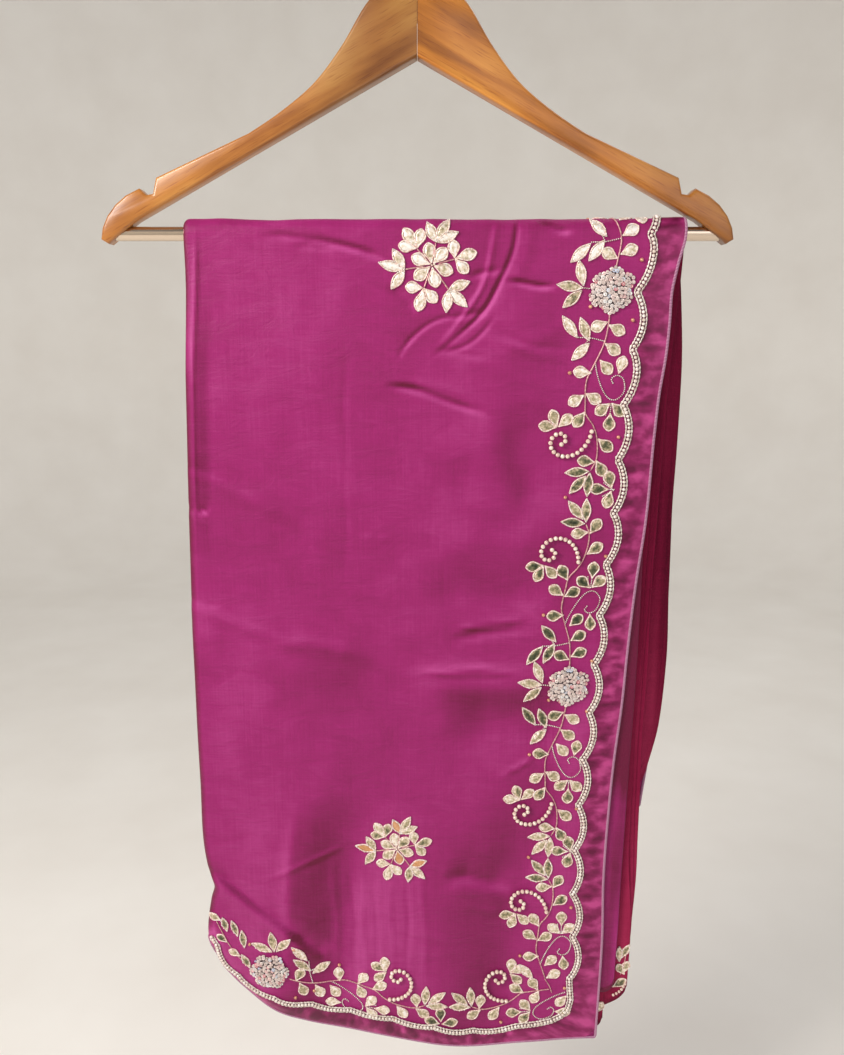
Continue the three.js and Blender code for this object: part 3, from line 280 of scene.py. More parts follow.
FRONT_CREASES = [
    (-98, 2, -62, 5, 1, 2.4, -0.5, 0),
    (-66, 5, -25, 18, 2.3, 2.1, -1.5, 0),
    (-80, 9, -58, 10, 0, 2.2, -0.4, 0),
    (52.5, -9, 21, 68, 8.5, 1.9, 0.5, 0.3),
    (68, -10, 24, 72, 10, 1.8, -0.8, 0.2),
    (76, -10, 40, 62, 9, 5.0, 0.15, 0),
    (38, 28, 56, 25, 0, 2.2, -0.6, 0),
    (64, 32, 90, 35, -0.6, 1.8, -1.3, 0),
    (84, -7, 101, -1, 0, 1.8, -1.4, 0),
    (-10, 78, 27, 56, 6, 1.7, -0.6, 0.2),
    (27, 56, 44, 52, 0, 2.2, -0.5, 0),
    (22, 78, 50, 60, -3, 1.8, -0.45, 0),
    (52, 64, 98, 78, -2, 2.2, -0.5, 0.2),
    (50, 70, 98, 84, -2, 2.4, 0.3, 0),
    (15, 78, 50, 84, 1, 2.2, -0.4, 0),
    (-18, 37, -3, 50, 0, 2.4, -0.5, 0),
    (-12, 103, 39, 119.5, 1.5, 2.1, -1.8, 0),
    (-14, 98, 42, 114, 2, 3.0, 0.3, 0),
    (-154, 160, -122, 179, 1.5, 3.0, -0.9, 0.2),
    (-155, 166, -96, 195, 2, 4.6, 1.1, 0.1),
    (-164, 184, -152, 192, -1.5, 2.4, -1.2, 0),
    (-165, 255, -148, 262, 0, 2.6, -0.6, 0.2),
    (-166, 262, -98, 291, 2, 4.4, 0.8, 0.1),
    (-100, 290, -40, 300, 0, 6.0, 0.7, 0.1),
    (-37, 209, -22, 213, 0, 2.2, 0.3, 0),
    (34, 279, 74, 274, 1, 2.8, 0.8, 0.2),
    (30, 285, 78, 281, 1, 4.0, -0.6, 0),
    (4, 313, 70, 315, 2, 3.4, 1.2, 0.2),
    (66, 395, 86, 383, 0, 2.4, 0.4, 0),
    (-114, 482, -64, 459, -1, 2.6, 0.4, 0.1),
    (-98, 434, -106, 552, 0, 6, 0.6, 0.5),
    (-163, 480, -94, 539, 1.5, 2.8, -2.8, 0.9),
    (-96, 538, -78, 552, 1, 2.6, -1.3, 0.9),
    (-160, 494, -118, 540, 4, 8, 0.6, 0),
    (-72, 545, -40, 572, 2, 3.4, 0.7, 0.3),
    (-66, 470, -64, 556, 0, 2.8, 0.2, 0),
    (-52, 486, -50, 560, 0, 2.6, -0.18, 0),
    (-44, 480, -42, 566, 0, 2.6, 0.14, 0),
    (-34, 486, -32, 568, 0, 2.6, -0.16, 0),
    (-22, 492, -20, 562, 0, 2.8, 0.15, 0),
    (-8, 490, -8, 566, 0, 2.6, -0.16, 0),
    (4, 486, 6, 570, 0, 3.2, 0.2, 0),
    (28, 484, 66, 494, 2, 6, -2.0, 0.5),
    (34, 508, 66, 516, 0, 4, 0.4, 0.2),
    (104, 60, 36, 86, 3, 6, 0.4, 0.3),
    (-60, 180, 20, 214, 4, 12, 0.4, 0.3),
    (-130, 60, -60, 74, 3, 10, 0.3, 0.2),
    (-50, 74, -52, 226, 0, 2.4, -0.1, 0),
    (62, 128, 74, 190, 0, 16, -1.2, 0.9),
]
BACK_FOLDS = [
    (-40, 10, 12, 120, 0, 22, 1.2, 0),
    (60, 60, 40, 240, 0, 26, -1.3, 0),
    (-110, 120, -90, 420, 0, 30, 1.4, 0),
    (-30, 230, -20, 440, 0, 26, -1.4, 0),
    (70, 280, 90, 440, 0, 26, 1.3, 0),
]
BACK_CREASES = [
    (-90, -6, -40, 30, 3, 8, -0.8, 0.5),
    (20, -8, -20, 90, 5, 9, 1.0, 0.2),
    (80, 20, 120, 34, 2, 8, -0.8, 0.3),
    (-60, 150, 10, 172, 3, 9, -0.9, 0.3),
    (-150, 200, -60, 236, 4, 8, 0.7, 0.3),
    (30, 210, 110, 222, 4, 7, 0.8, 0.6),
    (-20, 330, -14, 430, 0, 6, 0.6, 0),
    (-60, 340, -56, 440, 0, 6, -0.5, 0),
    (40, 350, 46, 440, 0, 6, 0.6, 0),
    (-150, 380, -120, 436, 3, 9, -0.8, 0.4),
    (100, 330, 108, 400, 2, 6, 0.5, 0),
]
rng = np.random.default_rng(29)
CELLS = 64
LATTICE = rng.random((CELLS, CELLS))


def mix(a, b, share):
    """From a to b by that share."""
    return a + (b - a) * share


def smooth(share):
    """Eases a share from 0 to 1: three times its square less twice its cube."""
    share = np.clip(share, 0, 1)
    return share * share * (3 - 2 * share)


def read(rows, place):
    """The value of a table of (place, value) rows: a cubic through the rows, whose slope at each
    is the mean slope about it, and level past the ends."""
    places, values = np.array(rows, float).T
    slopes = np.gradient(values, places)
    slopes[[0, -1]] = 0
    place = np.clip(place, places[0], places[-1])
    low = np.clip(np.searchsorted(places, place) - 1, 0, len(places) - 2)
    step = places[low + 1] - places[low]
    t = (place - places[low]) / step
    return (
        (1 + 2 * t) * (1 - t) ** 2 * values[low]
        + t * (1 - t) ** 2 * step * slopes[low]
        + t * t * (3 - 2 * t) * values[low + 1]
        + t * t * (t - 1) * step * slopes[low + 1]
    )


def wander(u, v):
    """A soft random surface between -1 and 1: values at whole places, eased between them."""
    u, v = np.broadcast_arrays(np.asarray(u, float), np.asarray(v, float))
    i, j = np.floor(u).astype(int), np.floor(v).astype(int)
    a, b = smooth(u - i), smooth(v - j)
    i, j, next_i, next_j = i % CELLS, j % CELLS, (i + 1) % CELLS, (j + 1) % CELLS
    near = mix(LATTICE[i, j], LATTICE[next_i, j], a)
    far = mix(LATTICE[i, next_j], LATTICE[next_i, next_j], a)
    return 2 * mix(near, far, b) - 1


def fold_height(rows, x, depth):
    """How far the cloth stands out, summed over a table of folds: each is a bell or an eased step
    across its line, which bends as a parabola, strays by 0.3 of its half width and swells by a
    fifth along the way. It fades over half its length at each end, half of that past the end."""
    out = np.zeros(np.broadcast(x, depth).shape)
    for x0, d0, x1, d1, bend, width, height, step in rows:
        run = np.hypot(x1 - x0, d1 - d0)
        ux, ud = (x1 - x0) / run, (d1 - d0) / run
        along = ((x - x0) * ux + (depth - d0) * ud) / run
        across = (x - x0) * ud - (depth - d0) * ux
        stray = 0.3 * width * np.sin(along * run / (4 * width) + x0)
        across = (across - bend * 4 * along * (1 - along) - stray) / width
        ends = smooth((along + 0.25) / 0.5) * smooth((1.25 - along) / 0.5)
        ends = ends * (1 + 0.2 * np.sin(along * run / (6 * width) + d0))
        bell = np.exp(-across * across)
        slope = np.tanh(1.6 * across) * np.exp(-((across / 3.2) ** 2))
        out += height * ends * mix(bell, slope, step)
    return out


HEM_CURL = 34  # height of the band above a hem that curls under
LOOSE_HEM_FROM, LOOSE_HEM_OVER = -100, 210  # where across the front hem its curl dies away


def by_fall(path, front_rows, back_rows, place):
    """The value of one table in front and of another behind."""
    return np.where(path >= 0, read(front_rows, place), read(back_rows, place))


def soft_folds(x, path):
    """The slow folds that run through all the layers, from a little below the bar down."""
    depth = np.abs(path) - QUARTER
    folds = np.where(
        path >= 0, fold_height(FRONT_FOLDS, x, depth), fold_height(BACK_FOLDS, x, depth)
    )
    return folds * smooth((depth - FOLDS_START) / FOLDS_EASE)


def relief(x, path):
    """How far the outermost layer stands off its fall: its folds and creases, slow unevenness
    over 60 and 17 mm, a wavy top line, and a hem that curls under by the square of the way down."""
    front, depth = path >= 0, np.abs(path) - QUARTER
    clear = smooth((np.abs(path) - 1) / TOP_BAND)
    creases = np.where(
        front, fold_height(FRONT_CREASES, x, depth), fold_height(BACK_CREASES, x, depth)
    )
    total = soft_folds(x, path) + creases * clear
    # A ridge is pressed beside the rolled fold, with a hollow next to it, and both end 320 mm
    # above the hem.
    hem = by_fall(path, FRONT_HEM, BACK_HEM, x)
    pressed = smooth((depth + 6) / 30) * smooth((hem - 320 - depth) / 90)
    from_ridge = x - left_fold(path) - mix(4.5, 0.0, smooth(depth / 120))
    hollow = smooth((depth - 30) / 60) * smooth((from_ridge - 1) / 11) * np.exp(-from_ridge / 60)
    total += pressed * 0.45 * np.exp(-((from_ridge / 1.6) ** 2))
    total -= pressed * 0.9 * hollow
    total += clear * (0.3 * wander(x / 60 + 9, depth / 70) + 0.12 * wander(x / 17, depth / 25 + 5))
    total += (1 - clear) * (0.4 + 0.75 * wander(x / 34 + 3, 0) + 0.25 * wander(x / 12, 5))
    curl = np.where(front, 6.5 * (1 - smooth((x - LOOSE_HEM_FROM) / LOOSE_HEM_OVER)), 2.0)
    return total - curl * (np.maximum(0, depth - hem + HEM_CURL) / HEM_CURL) ** 2


def lean(x, path):
    """How much the relief's slope turns the cloth towards the upper left, where the key light
    stands, as a rise per run: 0.8 of its slope across and 0.6 of its slope down, each over 2.8 mm.
    The cloth's colour takes it as painted shade and light."""
    reach = 1.4
    across = relief(x + reach, path) - relief(x - reach, path)
    down = relief(x, path + reach) - relief(x, path - reach)
    return (0.8 * across + 0.6 * np.where(path >= 0, down, -down)) / (2 * reach)


def right_edge(path):
    """The x of the finished right-hand edge."""
    return by_fall(path, FRONT_RIGHT, BACK_RIGHT, np.abs(path) - QUARTER)


def left_fold(path):
    """The x where the rolled fold begins to turn."""
    return by_fall(path, FRONT_LEFT, BACK_LEFT, np.abs(path) - QUARTER) + ROLL


def hang(x, path, crown, front, back, relief_height):
    """A spot of any layer: over the bar by angle at radius crown, and below it straight down, at
    a distance from the bar's plane that eases to front or back as the layers loosen."""
    below = np.maximum(np.abs(path) - QUARTER, 0)
    angle = np.minimum(np.abs(path) / CROWN, np.pi / 2)
    loose = np.where(path >= 0, front, back)
    stand = mix(crown, loose, smooth(below / LOOSEN)) + relief_height
    side = np.where(path >= 0, -1, 1)
    height = BAR_Z + stand * np.cos(angle) - below
    return np.stack([x + 0 * stand, side * stand * np.sin(angle), height], -1)


def opening(depth):
    """How far the layers have opened from their tight turn over the bar, from 0 to 1."""
    return smooth((depth - 4) / 40)


def cloth(x, path, turn=0.0, tuck=0.0):
    """A spot of the outer layer's face. Past the left fold it turns by an angle round a roll as
    thick as the stack, then runs back inside by tuck."""
    x, path, turn, tuck = np.broadcast_arrays(x, path, turn, tuck)
    depth = np.abs(path) - QUARTER
    face = mix(CROWN, np.where(path >= 0, FRONT_FACE, BACK_FACE), smooth(depth / LOOSEN))
    roll = mix(CROWN_ROLL, (face - TUCK_FACE) / 2, opening(depth))
    place = x - np.minimum(roll, ROLL) * np.sin(turn) + tuck
    bulge = relief(x, path) - roll * (1 - np.cos(turn))
    return hang(place, path, CROWN, FRONT_FACE, BACK_FACE, bulge)


def lay(x, path, lift=0.0):
    """Where a spot of trim lies: the cloth's face moved out along its normal by lift. Returns the
    places and the normals. Past the left fold it follows the roll round."""

    def face(x, path):
        fold = left_fold(path)
        past = np.clip((fold - x) / ROLL, 0, 0.98)
        return cloth(np.maximum(x, fold), path, np.arcsin(past))

    x, path = np.broadcast_arrays(np.asarray(x, float), np.asarray(path, float))
    across = face(x + 0.5, path) - face(x - 0.5, path)
    along = face(x, path + 0.5) - face(x, path - 0.5)
    normal = np.cross(along, across)
    normal /= np.linalg.norm(normal, axis=-1, keepdims=True)
    return face(x, path) + normal * np.asarray(lift, float)[..., None], normal


# ---------------------------------------------------------------- silk
# Plain-woven mulberry silk with uneven slub threads, dyed deep magenta. The threads give fine
# crossing lines, and the weave a low soft sheen.


def woven_silk(name, shades, shine, behind=None):
    """The tone follows warp and weft, patches of dye, the crumples and the lean attribute. The lean
    attribute paints shade and light by how each fold turns to the key light, and the crumples
    paint their own shade into it. Slubs are 1 mm wide and 22 to 40 mm long, some ten times
    coarser than the real 0.1 mm so that they show. Patches of dye are 110 by 150 mm, and light
    crumples 30 mm across and 14 mm down. shades are its deep, middle and light tones, and behind
    those of the leaves that face back, where the behind attribute is 1."""
    material = new_finish(name)
    flat = add_node(material, "ShaderNodeUVMap", uv_map="cloth").outputs[0]

    def noise(width, length, detail=3.0, **settings):
        spread = add_node(
            material,
            "ShaderNodeMapping",
            {"Vector": flat, "Scale": (width, length, 1.0)},
            vector_type="TEXTURE",
        )
        inputs = {"Vector": spread.outputs[0], "Scale": 1.0, "Detail": detail, **settings}
        return add_node(material, "ShaderNodeTexNoise", inputs).outputs[0]

    warp, weft, patches = noise(0.0012, 0.04), noise(0.022, 0.001), noise(0.11, 0.15)
    crumple = noise(0.03, 0.014, 7.0, Roughness=0.7, Distortion=0.9)
    painted_lean_shade = add_node(material, "ShaderNodeAttribute", attribute_name="lean").outputs["Fac"]
    weave = add_node(material, "ShaderNodeMath", {0: warp, 1: weft}, operation="ADD").outputs[0]
    tone = 0.235
    for part, share in ((weave, 0.12), (patches, 0.3), (crumple, 0.2), (painted_lean_shade, 1.5)):
        tone = add_node(
            material, "ShaderNodeMath", {0: part, 1: share, 2: tone}, operation="MULTIPLY_ADD"
        ).outputs[0]

    def dyed(deep, middle, light):
        stops = [(0.3, deep), (0.62, middle), (0.94, light)]
        return add_node(material, "ShaderNodeValToRGB", {"Fac": tone}, stops=stops).outputs[0]

    colour = dyed(*shades)
    if behind:
        share = add_node(material, "ShaderNodeAttribute", attribute_name="behind").outputs["Fac"]
        both = {"Fac": share, "Color1": colour, "Color2": dyed(*behind)}
        colour = add_node(material, "ShaderNodeMixRGB", both).outputs[0]
    creased = add_node(
        material, "ShaderNodeBump", {"Height": crumple, "Strength": 0.5, "Distance": 0.0022}
    )
    bump = add_node(
        material,
        "ShaderNodeBump",
        {"Height": weave, "Strength": 0.35, "Distance": 0.0003, "Normal": creased.outputs[0]},
    )
    return shade(
        material,
        Base_Color=colour,
        Roughness=0.46,
        Specular_IOR_Level=shine,
        Sheen_Weight=0.3 * shine,
        Sheen_Roughness=0.4,
        Sheen_Tint=linear("#d8589c"),
        Normal=bump.outputs[0],
    )


MAGENTA = ("#6a1238", "#9b236b", "#c04c94")
# The folded layers take the magenta darkened and reddened as painted shade, where the stack shades
# them; the leaves that face back keep the plain magenta.
SHADED_MAGENTA = ("#560624", "#7e1238", "#a42a52")
SILK = woven_silk("slub_silk_magenta", MAGENTA, 0.22)
SILK_INNER = woven_silk("slub_silk_shaded_folded_layers", SHADED_MAGENTA, 0.06, MAGENTA)


def grid_faces(rows, columns, round_=False):
    """The quads of a grid of points numbered along its rows. round_ joins the last column to the
    first, as round a tube."""
    steps = columns if round_ else columns - 1
    i, j = np.meshgrid(np.arange(rows - 1), np.arange(steps), indexing="ij")
    a, b = i * columns + j, i * columns + (j + 1) % columns
    return np.stack([a, b, b + columns, a + columns], -1).reshape(-1, 4)


def cap(sides):
    """The quads that close a ring of an even count of points, strip by strip."""
    k = np.arange(sides // 2 - 1)
    return np.stack([k, k + 1, sides - 2 - k, sides - 1 - k], -1)


def closed_tube(rings, sides):
    """The quads of a tube of rings, with both its ends closed."""
    last = (rings - 1) * sides
    return np.concatenate([grid_faces(rings, sides, True), cap(sides)[:, ::-1], cap(sides) + last])


def repeated(faces, copies, points_each):
    """One copy's faces numbered on for so many copies of its points, one after another."""
    starts = np.arange(copies) * points_each
    return (faces[None] + starts[:, None, None]).reshape(-1, 4)


def add_piece(name, points, faces, finish, slot, uv=None, tones=None):
    """A smooth-shaded piece from points in millimetres and quads. uv is in metres on the cloth,
    and tones are named values at each point."""
    mesh = bpy.data.meshes.new(name)
    mesh.from_pydata((points.reshape(-1, 3) / 1000).tolist(), [], faces.tolist())
    if uv is not None:
        at_corners = np.asarray(uv, np.float32).reshape(-1, 2)[faces.ravel()]
        mesh.uv_layers.new(name="cloth").data.foreach_set("uv", at_corners.ravel())
    for tone, values in (tones or {}).items():
        attribute = mesh.attributes.new(tone, "FLOAT", "POINT")
        attribute.data.foreach_set("value", np.asarray(values, np.float32).ravel())
    mesh.polygons.foreach_set("use_smooth", np.ones(len(mesh.polygons), bool))
    mesh.materials.append(finish)
    piece = bpy.data.objects.new(name, mesh)
    scene.collection.objects.link(piece)
    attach(piece, "root")
    return piece


def thicken(piece, wall):
    """Gives a sheet its wall, inwards from its face."""
    solidify = piece.modifiers.new("wall", "SOLIDIFY")
    solidify.thickness = wall / 1000
    solidify.offset = -1
    return piece


# ---------------------------------------------------------------- folded layers inside
# Between the outermost layer and the bar the saree lies folded in long flat hairpins, each with a
# rounded fold at its right-hand side. The folds are staggered, so their edges show as pleats.

HIDDEN_RIGHT_FRONT = [
    (0, 180.4), (60, 178), (120, 175), (300, 172), (460, 171), (491, 171.5), (610, 168)
]
HIDDEN_RIGHT_BACK = [(0, 180.4), (40, 184.6), (210, 187.6), (260, 189), (370, 186), (440, 176)]
HIDDEN_HEM_FRONT = [(-160, 520), (-144, 560), (-120, 588), (0, 600), (150, 604), (172, 594)]
HIDDEN_HEM_BACK = [(-160, 418), (0, 432), (190, 420)]

HAIRPIN_ROWS, FOLD_COLUMNS = 190, 5
HEM_CORNER = 9  # radius of the rounded corner at each end of a fold
LEAF_WALL = 0.15
NEXT_LEAF = 400  # how far along the cloth the inner leaf's weave is from the outer leaf's


def hairpin(name, finish, edge_at, hems, left, leaves, span=(-1.0, 1.0), pleat=0.0, dim=0.0):
    """One fold of cloth, a U across: its outer leaf from left to the right-hand edge, half a turn
    round the fold, and its inner leaf back. edge_at gives the edge by path, and hems the depth of
    each fall's hem by x. leaves are the (inner, outer) distances of its leaves over the bar, in
    front and behind. span is the share of the way from the back hem, at -1, to the front hem, at
    1. pleat raises the edge, and dim darkens what other layers shade."""
    leaf = np.concatenate(
        [np.linspace(0, 0.8, 9), np.linspace(0.84, 0.96, 6), np.linspace(0.968, 1, 9)]
    )
    turn = np.linspace(0, np.pi, FOLD_COLUMNS + 2)[1:-1]
    share = np.concatenate([leaf, np.ones(FOLD_COLUMNS), leaf[::-1]])[None, :]
    turn = np.concatenate([np.zeros(len(leaf)), turn, np.full(len(leaf), np.pi)])[None, :]
    along = np.linspace(*span, HAIRPIN_ROWS)[:, None]
    # The hem's depth hangs on x and the edge's x on the depth, so a few rounds settle both.
    x = np.full((HAIRPIN_ROWS, share.shape[1]), 60.0)
    for _ in range(6):
        hem = np.where(along >= 0, hems[0](x), hems[1](x)) + QUARTER
        edge = edge_at(along * hem)
        into_corner = np.clip(HEM_CORNER - edge + x, 0, HEM_CORNER)
        corner = HEM_CORNER - np.sqrt(HEM_CORNER**2 - into_corner**2)
        path = along * (hem - corner)
        x = mix(left, edge, share) + 0 * path
    down = np.abs(path)
    half = [(outer - inner) / 2 for inner, outer in leaves]
    distances = [
        (outer + inner) / 2 + some * np.cos(turn) for (inner, outer), some in zip(leaves, half)
    ]
    near_edge = smooth((x - edge + 16) / 12) * smooth((down - 50) / 60)
    bulge = soft_folds(x, path)
    bulge += pleat * near_edge * (1 + 0.5 * wander(path / 60 + 7 * pleat, 0 * x + 3))
    points = hang(x + half[1] * np.sin(turn), path, *distances, bulge)
    uv = np.stack([(x + np.where(turn > 1.5, NEXT_LEAF, 0)) / 1000, path / 1000], -1)
    # Tones, painted shade and light: deep round the fold and at the top, paler low down, streaked
    # near the edge, and dark at the very hem.
    tone = -dim * smooth((430 + QUARTER - down) / 60) - 0.16 * np.sin(turn + 0 * path)
    tone += mix(-0.1, 0.1 - 0.6 * dim, smooth((down - 180) / 200))
    tone += 0.12 * wander(x / 5 + 3 * pleat, path / 70) * near_edge
    tone -= 0.2 * smooth((down - hem + corner + 5) / 2)
    # The leaves that face back take the colours without the painted shade.
    behind = smooth((turn - 2.2) / 0.8) * smooth(path / 40)
    tones = {"lean": tone, "behind": behind}
    piece = add_piece(name, points, grid_faces(*path.shape), finish, "silk_shade", uv, tones)
    return thicken(piece, LEAF_WALL)


LAYERS = 5
EDGE_SET = [-4.0, -1.5, 0.0, -3.0, -6.0]  # innermost first: how far each fold stops short


def folded_layer(layer):
    """One of the hidden folds that fill the stack, numbered outwards from the bar: each has an
    equal share of the room, and the inner ones hang a little shorter."""
    inside = LAYERS - 1 - layer  # how many lie over it

    def edge_at(path):
        depth = np.abs(path) - QUARTER
        short = EDGE_SET[layer] * smooth((depth + 10) / 60) * smooth((560 - depth) / 90)
        edge = by_fall(path, HIDDEN_RIGHT_FRONT, HIDDEN_RIGHT_BACK, depth)
        return edge + short + 0.9 * wander(path / 55 + 11 * layer, 0 * path + layer)

    def front_hem(x):
        return read(HIDDEN_HEM_FRONT, x) - 3 * inside

    def back_hem(x):
        return read(HIDDEN_HEM_BACK, x) - 3 * inside

    def room(low, high, gap):
        step = (high - low) / LAYERS
        return low + layer * step + gap, low + (layer + 1) * step - gap

    return hairpin(
        f"folded_layer_{layer + 1}",
        SILK_INNER,
        edge_at,
        (front_hem, back_hem),
        left=-146.0,
        leaves=(room(5.1, 6.9, 0.02), room(4.9, 9.0, 0.1), room(4.9, 9.0, 0.1)),
        pleat=0.35 if inside == 0 else 0.0,
    )


folded = [folded_layer(layer) for layer in range(LAYERS)]
for piece in folded:
    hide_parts("hidden_layers_front", "hidden_layers_back")

# Two more folds lie between the stack and the outermost layer, on the front fall alone. Their
# edges run nearly straight down, and they end a little above its hem.
FROM_BAR = 0.165  # share of the way down at which they begin
SECOND_EDGE = [(0, 158), (86, 160), (300, 162.5), (400, 160.5), (500, 158.5), (590, 158)]
THIRD_EDGE = [(0, 154), (86, 156), (300, 152), (500, 151), (640, 150)]


def above_hem(rise, lowest):
    """The hems of a fold of the front fall: above the outermost hem by rise at the left and by
    5 mm at the right, and nowhere below lowest. It doesn't reach the back fall."""

    def front_hem(x):
        clear = mix(rise, 5, smooth((x - LOOSE_HEM_FROM) / LOOSE_HEM_OVER))
        return np.minimum(read(FRONT_HEM, x) - clear, lowest)

    return front_hem, front_hem


second_fold = hairpin(
    "second_fold",
    SILK,
    lambda path: read(SECOND_EDGE, path - QUARTER) + 0.5 * wander(path / 60, 0 * path),
    above_hem(42, 588),
    left=-144.0,
    leaves=((7.0, 7.2), (11.1, 12.2), (9.5, 10.5)),
    span=(FROM_BAR, 1.0),
    pleat=0.5,
    dim=0.3,
)
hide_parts("second_fold_front")
third_fold = hairpin(
    "third_fold",
    SILK_INNER,
    lambda path: read(THIRD_EDGE, path - QUARTER),
    above_hem(38, 623),
    left=-144.0,
    leaves=((7.0, 7.2), (9.7, 10.6), (9.5, 10.5)),
    span=(FROM_BAR, 1.0),
    pleat=0.2,
)
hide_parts("third_fold_front")

# ---------------------------------------------------------------- outermost layer
# The fall that shows is one width of the saree, run over the bar in a single piece. Its left side
# is a rolled fold, its right side and both hems are finished edges.

SHEET_WALL = 0.8
ROLL_COLUMNS, TUCK_COLUMNS = 8, 4
TUCK_WIDTH = 22  # how far the layer runs back inside, past the rolled fold
FRONT_TUCK_RISE, BACK_TUCK_RISE = 14, 10  # how much higher the hem ends there


def stations(start, *runs):
    """Shares from start on, in runs of (end, count) that are finer where small creases lie."""
    shares = []
    for end, count in runs:
        shares.append(np.linspace(start, end, count)[:-1])
        start = end
    return np.concatenate([*shares, [start]])


flat_share = stations(0, (0.14, 10), (0.28, 14), (0.515, 50), (0.755, 36), (0.93, 20), (1, 16))
column_share = np.concatenate([flat_share, np.ones(ROLL_COLUMNS + TUCK_COLUMNS)])
roll_turn = np.linspace(0, np.pi, ROLL_COLUMNS + 1)[1:]
column_turn = np.concatenate([0 * flat_share, roll_turn, np.full(TUCK_COLUMNS, np.pi)])
tucked = np.linspace(0, TUCK_WIDTH, TUCK_COLUMNS + 1)[1:]
column_tuck = np.concatenate([0 * flat_share, 0 * roll_turn, tucked])
row_share = stations(-1, (-0.05, 60), (0.215, 108), (0.72, 84), (1, 76))[:, None]
front_x, back_x = np.zeros(len(column_share)), np.zeros(len(column_share))
for _ in range(12):
    front_end = QUARTER + read(FRONT_HEM, front_x) - FRONT_TUCK_RISE * column_turn / np.pi
    back_end = QUARTER + read(BACK_HEM, back_x) - BACK_TUCK_RISE * column_turn / np.pi
    front_x = mix(right_edge(front_end), left_fold(front_end), column_share)
    back_x = mix(right_edge(-back_end), left_fold(-back_end), column_share)
sheet_path = row_share * np.where(row_share >= 0, front_end, back_end)
sheet_x = mix(right_edge(sheet_path), left_fold(sheet_path), column_share)
sheet_depth = np.abs(sheet_path) - QUARTER
sheet_turn = column_turn * mix(0.5, 1.0, opening(sheet_depth))
sheet_tuck = column_tuck * smooth((sheet_depth - 24) / 40)
sheet_points = cloth(sheet_x, sheet_path, sheet_turn, sheet_tuck)
sheet_uv = np.stack([(sheet_x - sheet_turn * ROLL - column_tuck) / 1000, sheet_path / 1000], -1)
# The lean attribute paints shade and light into the outer layer by how its folds turn to the key
# light, and paints it darker round the roll.
sheet_painted_shade = {"lean": lean(sheet_x, sheet_path) - 0.28 * np.sin(sheet_turn)}  # dark round the roll
outer = add_piece(
    "outer_layer",
    sheet_points,
    grid_faces(*sheet_path.shape),
    SILK,
    "silk",
    sheet_uv,
    sheet_painted_shade,
)
thicken(outer, SHEET_WALL)
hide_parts("outer_layer_front", "outer_layer_back")

# ---------------------------------------------------------------- finished edge
# The edge is followed as one line: along the front hem from the left fold, round the corner, up
# the right-hand side, over the bar and down the back, and along the back hem.


def side_corner(sign, hem):
    """The corner where a hem meets the right-hand side, as x and signed path."""
    path = 600.0 if sign > 0 else -440.0
    for _ in range(12):
        path = sign * (QUARTER + float(read(hem, right_edge(np.array(path)))))
    return float(right_edge(np.array(path))), path


corner_front, corner_back = side_corner(1, FRONT_HEM), side_corner(-1, BACK_HEM)


def run_lengths(points):
    """The length of a line up to each of its points."""
    return np.concatenate([[0], np.cumsum(np.linalg.norm(np.diff(points, axis=0), axis=1))])


def even(points, step):
    """A line's points spaced evenly by about step: straight-line reading by its length."""
    lengths = run_lengths(points)
    at = np.linspace(0, lengths[-1], max(2, int(round(lengths[-1] / step)) + 1))
    return np.stack([np.interp(at, lengths, points[:, k]) for k in (0, 1)], -1)


def hem_line(sign, hem, left, corner):
    """A hem from the right-hand corner to the left fold, as x and signed path every millimetre."""
    x = np.linspace(corner[0], left, 800)
    return even(np.stack([x, sign * (QUARTER + read(hem, x))], -1), 1.0)


def inward(line):
    """The direction into the cloth at each point of a line that has the cloth on its left."""
    run = np.gradient(line, axis=0)
    run /= np.linalg.norm(run, axis=1, keepdims=True)
    return np.stack([run[:, 1], -run[:, 0]], -1)


FRONT_HEM_LEFT, BACK_HEM_LEFT = -167.5, -161.5  # where each hem ends, at the rolled fold
front_hem = hem_line(1, FRONT_HEM, FRONT_HEM_LEFT, corner_front)[::-1]
back_hem = hem_line(-1, BACK_HEM, BACK_HEM_LEFT, corner_back)
side_path = np.linspace(corner_front[1], corner_back[1], 1100)
side_line = np.stack([right_edge(side_path), side_path], -1)
edge_line = np.concatenate([front_hem[:-1], side_line, back_hem[1:]])
edge_inward = inward(edge_line)

# The bead line keeps inside the edge: scallops with cusps that point in down the side, a wide
# turn at each corner, and shallower scallops along the hems.
SCALLOP = 38.2
CUSP_INSET, SCALLOP_DEPTH = 23.5, 6.3
FIRST_CUSP = 53.6
SIDE_END = 45  # the side's last cusp lies at least this far above the corner
TURN_END = 63.6  # the corner's turn ends this far along the hem, which has one point a millimetre
HEM_SCALLOP, HEM_SCALLOP_DEPTH = 35, 2.6
HEM_INSET, WIDE_INSET, FOLD_INSET = 14.5, 20.5, 5.5  # of the hem's cusps
CORNER_TURN = np.array(
    [
        (-24.6, -51), (-21.5, -43), (-20.6, -35), (-22.4, -26), (-27.5, -19.6), (-35.5, -15),
        (-45, -12.4), (-55, -10.8), (-TURN_END, -9.6),
    ]
)  # from the corner: across, and down the fall


def scallop_inset(path):
    """How far in from the side the beads run: each scallop is a sine, raised to a power that
    makes it fuller, cut from the line of the cusps."""
    share = np.mod((path - FIRST_CUSP) / SCALLOP, 1)
    return CUSP_INSET - SCALLOP_DEPTH * np.sin(np.pi * share) ** 0.75


def hem_inset(line, sign):
    """How far in from the hem the beads run, by the way from the corner: shallow scallops from
    where the corner's turn ends. On the front the line widens, then closes in to the fold."""
    away = np.arange(len(line), dtype=float)
    base = HEM_INSET + 0 * away
    if sign > 0:
        wide = mix(HEM_INSET, WIDE_INSET, smooth((away - 70) / 120))
        base = mix(wide, FOLD_INSET, smooth((away - 228) / 85))
    share = np.mod((away - TURN_END) / HEM_SCALLOP, 1)
    return base - HEM_SCALLOP_DEPTH * np.sin(np.pi * share) ** 0.8 * (away > TURN_END)


